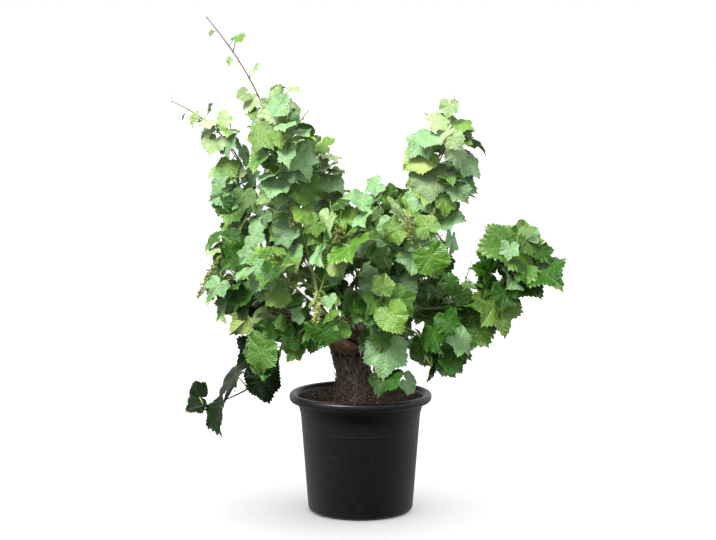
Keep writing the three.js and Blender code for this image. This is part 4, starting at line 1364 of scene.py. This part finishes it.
# %% Bark relief
STRING_MM, STRING_LONG, LUMP_MM, SMALL_MM = 6.5, 3.2, 24.0, 3.0
STRING_HIGH, SMALL_HIGH, LUMP_HIGH, SUNK = 3.4, 1.4, 4.5, 3.2  # relief, and how far in it starts
TWIST = 0.009  # radians that the grain turns round a limb in each mm along it
LIMB_APART = 400.0  # keeps the grain of one limb from running on in the next


def grain_places(points):
    """For each point: its way round the nearest limb, and its distance along it, in mm."""
    best = np.full(len(points), np.inf)
    around, along_at = np.zeros((len(points), 3)), np.zeros(len(points))
    offset = 0.0
    for line, radii in axes:
        lengths = lengths_of(line)
        direction = unit(np.gradient(line, axis=0))
        for i, (at, way, radius) in enumerate(zip(line, direction, radii)):
            q = points - at
            run = q @ way
            out = q - run[:, None] * way
            gap = np.sqrt((q * q).sum(1)) - radius
            near = gap < best
            best[near] = gap[near]
            around[near] = out[near]
            along_at[near] = run[near] + lengths[i] + offset
        offset += LIMB_APART
    return around, along_at


def bark_relief(points):
    """Millimetres outwards for each point, and from 0 to 1 the painted shade for how deep it lies
    in a fissure.
    """
    around, run = grain_places(points)
    lift, crack_shade = np.empty(len(points)), np.empty(len(points))
    for i, (p, q, at) in enumerate(zip(points, around, run)):
        twist = TWIST * at
        x = q[0] * math.cos(twist) - q[1] * math.sin(twist)
        y = q[0] * math.sin(twist) + q[1] * math.cos(twist)
        grain = Vector((x, y, q[2])) / STRING_MM + Vector((0, 0, at / (STRING_MM * STRING_LONG)))
        plate = min(1, 4.5 * abs(noise.noise(grain)))
        fine = min(1, 3.5 * abs(noise.noise(grain * (STRING_MM / SMALL_MM) + Vector((9, 4, 2)))))
        lumps = noise.noise(Vector(p) / LUMP_MM)
        lift[i] = STRING_HIGH * plate + SMALL_HIGH * fine + LUMP_HIGH * lumps - SUNK
        # The sunk parts of the bark get painted shade, darkest where it is split deepest.
        crack_shade[i] = 0.9 * (1 - plate) ** 1.5 + 0.5 * (1 - fine) ** 1.5
    return lift, np.clip(crack_shade, 0, 1)


lift, crack_shade = bark_relief(points)
print("bark from", round(lift.min(), 1), "to", round(lift.max(), 1), "mm")

# %% Burr, arms and trunk
BURR_EDGE, GROOVE_AT = 1.04, 1.12  # in the burr's own half sizes
# A groove is cut round the burr's lower edge, and a dark line along it is painted shade.
GROOVE_DEEP, GROOVE_WIDE, GROOVE_SHADE, GROOVE_SHADE_WIDE = 7, 0.07, 1.2, 0.06
BURR_RELIEF = 0.6  # the share of the bark's relief that a burr keeps
ARM_RELIEF, ARM_RELIEF_FROM, ARM_RELIEF_OVER, ARM_RELIEF_R = 0.55, 480, 60, 60
ARM_FROM_R, ARM_FROM_Z = 64, 485  # where the arms' piece takes over from the trunk's

from_burr = np.linalg.norm(((points - BURR["at"]) @ spin) / BURR["half"], axis=1)
on_burr = from_burr < BURR_EDGE
groove = np.exp(-(((from_burr - GROOVE_AT) / GROOVE_WIDE) ** 2))
lift = np.where(on_burr, BURR_RELIEF * lift + 1, lift) - GROOVE_DEEP * groove
groove_shade = np.exp(-(((from_burr - GROOVE_AT) / GROOVE_SHADE_WIDE) ** 2))
crack_shade = np.where(on_burr, BURR_RELIEF * crack_shade, crack_shade) + GROOVE_SHADE * groove_shade
crack_shade = np.clip(crack_shade, 0, 1)
thin = np.clip((points[:, 2] - ARM_RELIEF_FROM) / ARM_RELIEF_OVER, 0, 1)
thin *= np.hypot(points[:, 0] - HEAD[0], points[:, 1]) > ARM_RELIEF_R
carved = points + normals * (lift * (1 - ARM_RELIEF * thin))[:, None]
places = np.zeros_like(points)
# The wood's points store their painted shade for the finish's third colour.
places[:, 2] = crack_shade
is_arm = np.hypot(points[:, 0] - HEAD[0], points[:, 1]) > ARM_FROM_R
is_arm &= points[:, 2] > ARM_FROM_Z
wood, arm_wood, burr_wood = Heap(), Heap(), Heap()
quads = corners[(starts[sizes == 4][:, None] + np.arange(4))]
arm_face, burr_face = is_arm[quads].any(1), on_burr[quads].all(1)
for heap, wanted in ((wood, ~arm_face & ~burr_face), (arm_wood, arm_face & ~burr_face),
                     (burr_wood, burr_face)):
    used, where = np.unique(quads[wanted], return_inverse=True)
    heap.add(carved[used], [where.reshape(-1, 4)], 0, places[used])
dress(wood.make("trunk_bark", [BARK]), "bark", "trunk")
dress(burr_wood.make("burr_bark", [BURR_BARK]), "bark", "trunk")
dress(arm_wood.make("arm_bark", [BARK]), "arm_bark", *["arm_" + arm for arm in ARMS])

# %% [markdown]
# Old vines shed their bark in strips. Hair would give thin ones quickly, but it doesn't export,
# so ribbons 2 to 5.5 mm wide and 12 to 48 mm long lie along the trunk and the thicker part of
# each arm, and lift off at their ends. Each arm ends where a pruning saw cut it, in a disc of
# paler wood with the bark's edge round it.

# %% Peeling strips
def strip(line, outward, wide, thick=0.8):
    """A flat ribbon along a line. outward gives the side that looks away from the limb."""
    along = unit(np.gradient(line, axis=0))
    side = unit(np.cross(along, outward))
    share = np.linspace(0, 1, len(line))
    half = (wide / 2 * (0.35 + 0.65 * np.sin(math.pi * (0.08 + 0.84 * share))))[:, None]
    rim = [line - side * half, line + outward * thick * 1.6, line + side * half,
           line - outward * thick * 0.4]
    points = np.stack(rim, 1).reshape(-1, 3)
    ring, following = ring_of(4)
    base = (np.arange(len(line) - 1) * 4)[:, None]
    walls = np.stack([base + ring, base + ring + 4, base + following + 4, base + following], 2)
    last = (len(line) - 1) * 4
    caps = np.array([[0, 1, 2, 3], [last + 3, last + 2, last + 1, last]])
    return points, [walls.reshape(-1, 4), caps]


STRIPS = {"trunk": 120, "arm": 10}
PEEL_SEED = 830
peel = Heap()
for number, (line, radii) in enumerate(axes):
    lengths = lengths_of(line)
    for k in range(STRIPS["arm" if number else "trunk"]):
        c = lambda draw: chance(PEEL_SEED + number, k, draw)
        long, wide = 12 + 36 * c(1) ** 2, 2.0 + 3.5 * c(2)
        at = 8 + (lengths[-1] * (0.75 if number else 0.8) - long) * c(3)
        turn = 2 * math.pi * c(4)
        share = np.linspace(0, 1, 12)
        runs = at + long * share
        centre = point_at(line, lengths, runs)
        radius = np.interp(runs, lengths, radii)
        way = unit(centre[-1] - centre[0])
        across = unit(np.cross(way, (0.3, 1, 0.2)))
        over = np.cross(way, across)
        turns = turn + (c(5) - 0.2) * 0.5 * share
        out = np.cos(turns)[:, None] * across + np.sin(turns)[:, None] * over
        free = np.maximum(0, share - 0.6) * (4 + 14 * c(6)) + np.maximum(0, 0.2 - share) * 8 * c(7)
        peel.add(*strip(centre + out * (radius * 1.02 + 1.2 + free)[:, None], out, wide))
dress(peel.make("peeling_strips", [PEEL]), "bark", "trunk")

# %% Saw cuts
CUT_FROM, CUT_EDGE, CUT_FACE = -4, 0.6, 1.2  # along the arm, from its end
CUT_WIDE, CUT_BEVELLED = 0.95, 0.8  # in the arm's end radius
cuts_made = Heap()
for arm in ARMS:
    tip, way = np.array(ARMS[arm], float), unit(np.array(ARMS[arm]) - arm_point(arm, 0.93))
    line = np.array([tip + way * along for along in (CUT_FROM, CUT_EDGE, CUT_FACE)])
    radii = ARM["tip_r"] * np.array([CUT_WIDE, CUT_WIDE, CUT_BEVELLED])
    cuts_made.add(*tube(line, radii, 28))
dress(cuts_made.make("saw_cuts", [SAWN]), "arm_bark", *["arm_" + arm for arm in ARMS])

# %% [markdown]
# ## Pot
#
# A 30-litre nursery container, blow-moulded in black polypropylene: a straight cone, a small
# step, and a rolled rim that stands out like a brim. Cylinders with bevels could be stacked, but
# the pot is round throughout, so a profile is turned about the axis. Its corners are rounded
# first, as no mould gives a sharp one. 192 sides keep the rim smooth against the floor.

# %% Profiles that are turned
def rounded(profile, radii, steps=5):
    """A profile whose corners are replaced by arcs of the given radii."""
    made = [np.array(profile[0], float)]
    for before, corner, after, radius in zip(profile, profile[1:], profile[2:], radii):
        a, b, c = (np.array(p, float) for p in (before, corner, after))
        room = 0.45 * min(np.linalg.norm(a - b), np.linalg.norm(c - b))
        cut = min(radius, room)
        start, end = b + unit(a - b) * cut, b + unit(c - b) * cut
        t = np.linspace(0, 1, steps)[:, None]
        made += list((1 - t) ** 2 * start + 2 * t * (1 - t) * b + t * t * end)
    made.append(np.array(profile[-1], float))
    return np.array(made)


def turned(profile, sides=192):
    """A profile of radii and heights, from the axis out and back to it, spun about the axis."""
    turn = circle(sides)
    ring = np.stack([np.cos(turn), np.sin(turn)], 1)
    points = [[[0, 0, profile[0][1]]]]
    for r, z in profile[1:-1]:
        points.append(np.column_stack([ring * r, np.full(sides, z)]))
    points.append([[0, 0, profile[-1][1]]])
    k, following = ring_of(sides)
    count = len(profile) - 2
    walls = [np.stack([1 + i * sides + k, 1 + i * sides + following,
                       1 + (i + 1) * sides + following, 1 + (i + 1) * sides + k], 1)
             for i in range(count - 1)]
    last = 1 + (count - 1) * sides
    caps = np.vstack([np.stack([np.zeros(sides, int), 1 + following, 1 + k], 1),
                      np.stack([np.full(sides, last + sides), last + k, last + following], 1)])
    return np.vstack(points), walls + [caps]


print("a rounded corner has", len(rounded([(0, 0), (1, 0), (1, 1)], [0.4])) - 2, "points")

# %% Pot
P = POT
inside = lambda r: r - P["wall"]
slope = lambda z: P["base_r"] + (P["step_low_r"] - P["base_r"]) * (z - P["foot"]) / (
    P["step_z"] - P["foot"])
RIDGE_Z = 236  # the mould's parting line round the wall
pot_profile = [
    (0, 0, 0), (P["base_r"] - P["foot"], 0, 3), (P["base_r"] + 0.4, P["foot"], 5),
    (slope(RIDGE_Z - 4), RIDGE_Z - 4, 1), (slope(RIDGE_Z) + 0.4, RIDGE_Z, 2),
    (slope(RIDGE_Z + 4), RIDGE_Z + 4, 1), (slope(P["step_z"] - 8), P["step_z"] - 8, 8),
    (P["step_high_r"] - 0.5, P["step_z"] + 14, 8), (P["step_high_r"], P["rim_low_z"] - 2, 2),
    (P["step_high_r"] + 8, P["rim_low_z"] + 2, 4), (P["rim_r"] - 5, P["rim_low_z"] + 1, 4),
    (P["rim_r"], P["rim_low_z"] + 8, 5), (P["rim_r"], P["rim_z"] - 5, 5),
    (P["rim_r"] - 5, P["rim_z"], 5), (P["rim_r"] - P["lip"] - 2, P["rim_z"], 5),
    (inside(P["step_high_r"]) + 5, P["rim_z"] - 8, 5),
    (inside(P["step_high_r"]), P["rim_low_z"], 4),
    (inside(P["step_low_r"]), P["step_z"], 3), (inside(P["base_r"]), P["foot"] + P["floor"], 6),
    (0, P["floor"], 0),
]
shell = Heap()
shell.add(*turned(rounded([p[:2] for p in pot_profile], [p[2] for p in pot_profile[1:-1]])))
dress(shell.make("nursery_pot", [POT_SKIN]), "pot_plastic", "pot")

# %% [markdown]
# ## Compost
#
# The compost has settled a little below the rim, mounds against the trunk and rises to the wall.
# A bump alone would leave its edge straight, so a disc of rings is raised by noise for its clods,
# and loose crumbs, bark chips and a few pale grains lie on it.

# %% Soil
SOIL_R, SOIL_RINGS, SOIL_SIDES = 171.0, 64, 220
CLOD_MM, LUMPS_MM = 22, 9  # the width of the clods and of the lumps on them
CLOD_HIGH, LUMPS_HIGH, MOUND_HIGH, EDGE_HIGH, SETTLED = 2.6, 1.6, 5, 5, 3.0


def soil_height(x, y):
    r = math.hypot(x, y)
    near = math.hypot(x - FOOT[0], y)
    clods = noise.fractal(Vector((x / CLOD_MM, y / CLOD_MM, 3.1)), 0.9, 2.1, 4)
    lumps = 1 - 1.8 * abs(noise.noise(Vector((x / LUMPS_MM, y / LUMPS_MM, 7.7))))
    mound = MOUND_HIGH * math.exp(-((max(0, near - 58) / 26) ** 2))
    edge = EDGE_HIGH * max(0, r / SOIL_R - 0.6) / 0.4
    return SOIL_TOP - SETTLED + CLOD_HIGH * clods + LUMPS_HIGH * lumps + mound + edge


soil = Heap()
turn = circle(SOIL_SIDES)
radii = SOIL_R * np.linspace(0, 1, SOIL_RINGS + 1)[1:]
top = [(0, 0, SOIL_TOP)]
for r in radii:
    top += [(r * math.cos(a), r * math.sin(a), soil_height(r * math.cos(a), r * math.sin(a)))
            for a in turn]
floor_r, floor_z = inside(P["base_r"]) - 8, P["floor"] + 1
low = [(floor_r * math.cos(a), floor_r * math.sin(a), floor_z) for a in turn] + [(0, 0, floor_z)]
k, following = ring_of(SOIL_SIDES)
walls = [np.stack([1 + i * SOIL_SIDES + k, 1 + (i + 1) * SOIL_SIDES + k,
                   1 + (i + 1) * SOIL_SIDES + following, 1 + i * SOIL_SIDES + following], 1)
         for i in range(SOIL_RINGS)]
last = 1 + SOIL_RINGS * SOIL_SIDES
caps = np.vstack([np.stack([0 * k, 1 + k, 1 + following], 1),
                  np.stack([np.full(SOIL_SIDES, last + SOIL_SIDES), last + following, last + k],
                           1)])
soil.add(np.array(top + low), walls + [caps])
dress(soil.make("compost", [COMPOST]), "soil", "soil")

# %% Crumbs, bark chips and grit
CRUMBS, GRIT_BELOW, CHIP_BELOW = 1500, 0.05, 0.24  # how many, and the draws of the rarer kinds
CRUMB_OF, CHIP_OF, GRIT_OF = 0, 1, 2
LUMP = ball(4, 6)
crumbs = Heap()
for i in range(CRUMBS):
    c = lambda draw: chance(77, i, draw)
    w = lambda draw: spread(78, i, draw)
    r, a = (SOIL_R - 5) * math.sqrt(c(1)), 2 * math.pi * c(2)
    x, y = r * math.cos(a), r * math.sin(a)
    kind = GRIT_OF if c(3) < GRIT_BELOW else CHIP_OF if c(3) < CHIP_BELOW else CRUMB_OF
    size = (1.0 + 3.2 * c(4) ** 2.5) * (0.8 if kind == GRIT_OF else 1)
    shape = LUMP[0] * (1 + 0.35 * np.sin(LUMP[0] @ (5 * w(5), 5 * w(6), 4) + 6 * c(7)))[:, None]
    shape = shape * ((1.9, 0.8, 0.35) if kind == CHIP_OF else (1, 0.8, 0.7))
    a = 2 * math.pi * c(8)
    flat = np.array([[math.cos(a), math.sin(a), 0], [-math.sin(a), math.cos(a), 0], [0, 0, 1]])
    crumbs.add(shape @ flat * size + (x, y, soil_height(x, y) + 0.45 * size), LUMP[1], kind)
dress(crumbs.make("crumbs_chips_and_grit", [COMPOST, BARK_CHIP, GRIT]), "soil")

# %% [markdown]
# ## Studio
#
# A pale floor runs out to a white surround, which lights the vine from all sides as a cloudy sky
# would. Below the horizon the surround is dim in front, where a studio's own floor is in shade,
# and brighter at the sides and behind. One soft lamp stands high on the left and in front. It
# would burn the pale floor out and throw a hard-edged patch on it, so it leaves the floor alone,
# and a second, very wide lamp overhead lights nothing but the floor.

# %% Floor
FIBRE_MM = 4
FLOOR_HALF = 400000.0  # so far that its edge is lost in the surround


def paper():
    """Pale paper, matt, with the faint cloudiness of its fibres."""
    made, tree, shader, place = finish("pale floor paper", 1.5)
    fibre = add(tree, "TexNoise", {"Vector": place, "Scale": 1000 / FIBRE_MM,
                                   "Detail": 3.0}).outputs[0]
    share = add(tree, "MapRange", {0: fibre, 3: 0.0, 4: 0.03}).outputs[0]
    colour = add(tree, "Mix", {FACTOR: share, FIRST: linear("#fafaf9"), SECOND: linear("#f0f0ee")},
                 data_type="RGBA").outputs[MIXED]
    tree.links.new(colour, shader.inputs["Base Color"])
    shader.inputs["Roughness"].default_value = 0.9
    return made


ground = Heap()
ground.add(np.array([(-FLOOR_HALF, -FLOOR_HALF, 0), (FLOOR_HALF, -FLOOR_HALF, 0),
                     (FLOOR_HALF, FLOOR_HALF, 0), (-FLOOR_HALF, FLOOR_HALF, 0)]),
           [np.array([[0, 1, 2, 3]])])
floor = ground.make("floor", [paper()])
floor.visible_diffuse = False
floor.visible_glossy = False
print("a floor", round(2 * FLOOR_HALF * MM), "m across")

# %% Surround
world = bpy.data.worlds.new("white surround")
world.use_nodes = True
sky = world.node_tree
way = add(sky, "SeparateXYZ", {0: add(sky, "TexCoord").outputs["Generated"]}).outputs
low = add(sky, "MapRange", {0: way[1], 1: -0.75, 2: 0.2, 3: 0.02, 4: 0.42}).outputs[0]
bright = add(sky, "MapRange", {0: way[2], 1: -0.22, 2: -0.03, 3: low, 4: 1.0}).outputs[0]
surround = sky.nodes["Background"]
surround.inputs["Color"].default_value = (1, 1, 1, 1)
sky.links.new(bright, surround.inputs["Strength"])
bpy.context.scene.world = world
print("surround:", world.name)


# %% Lamps
def far_lamp(name, energy, across, tilt, turn, floor_state):
    """A far lamp, so many degrees across. floor_state says if it lights only the floor or not."""
    lamp = bpy.data.objects.new(name, bpy.data.lights.new(name, "SUN"))
    lamp.data.energy = energy
    lamp.data.angle = math.radians(across)
    lamp.rotation_euler = (math.radians(tilt), 0, math.radians(turn))
    bpy.context.scene.collection.objects.link(lamp)
    lit = bpy.data.collections.new(name + " and the floor")
    lit.objects.link(floor)
    lit.collection_objects[0].light_linking.link_state = floor_state
    lamp.light_linking.receiver_collection = lit


far_lamp("key", 6.2, 24, 38, -42, "EXCLUDE")
far_lamp("above", 1.2, 170, 0, 0, "INCLUDE")
bpy.context.scene.view_settings.view_transform = "Standard"
print("studio ready")
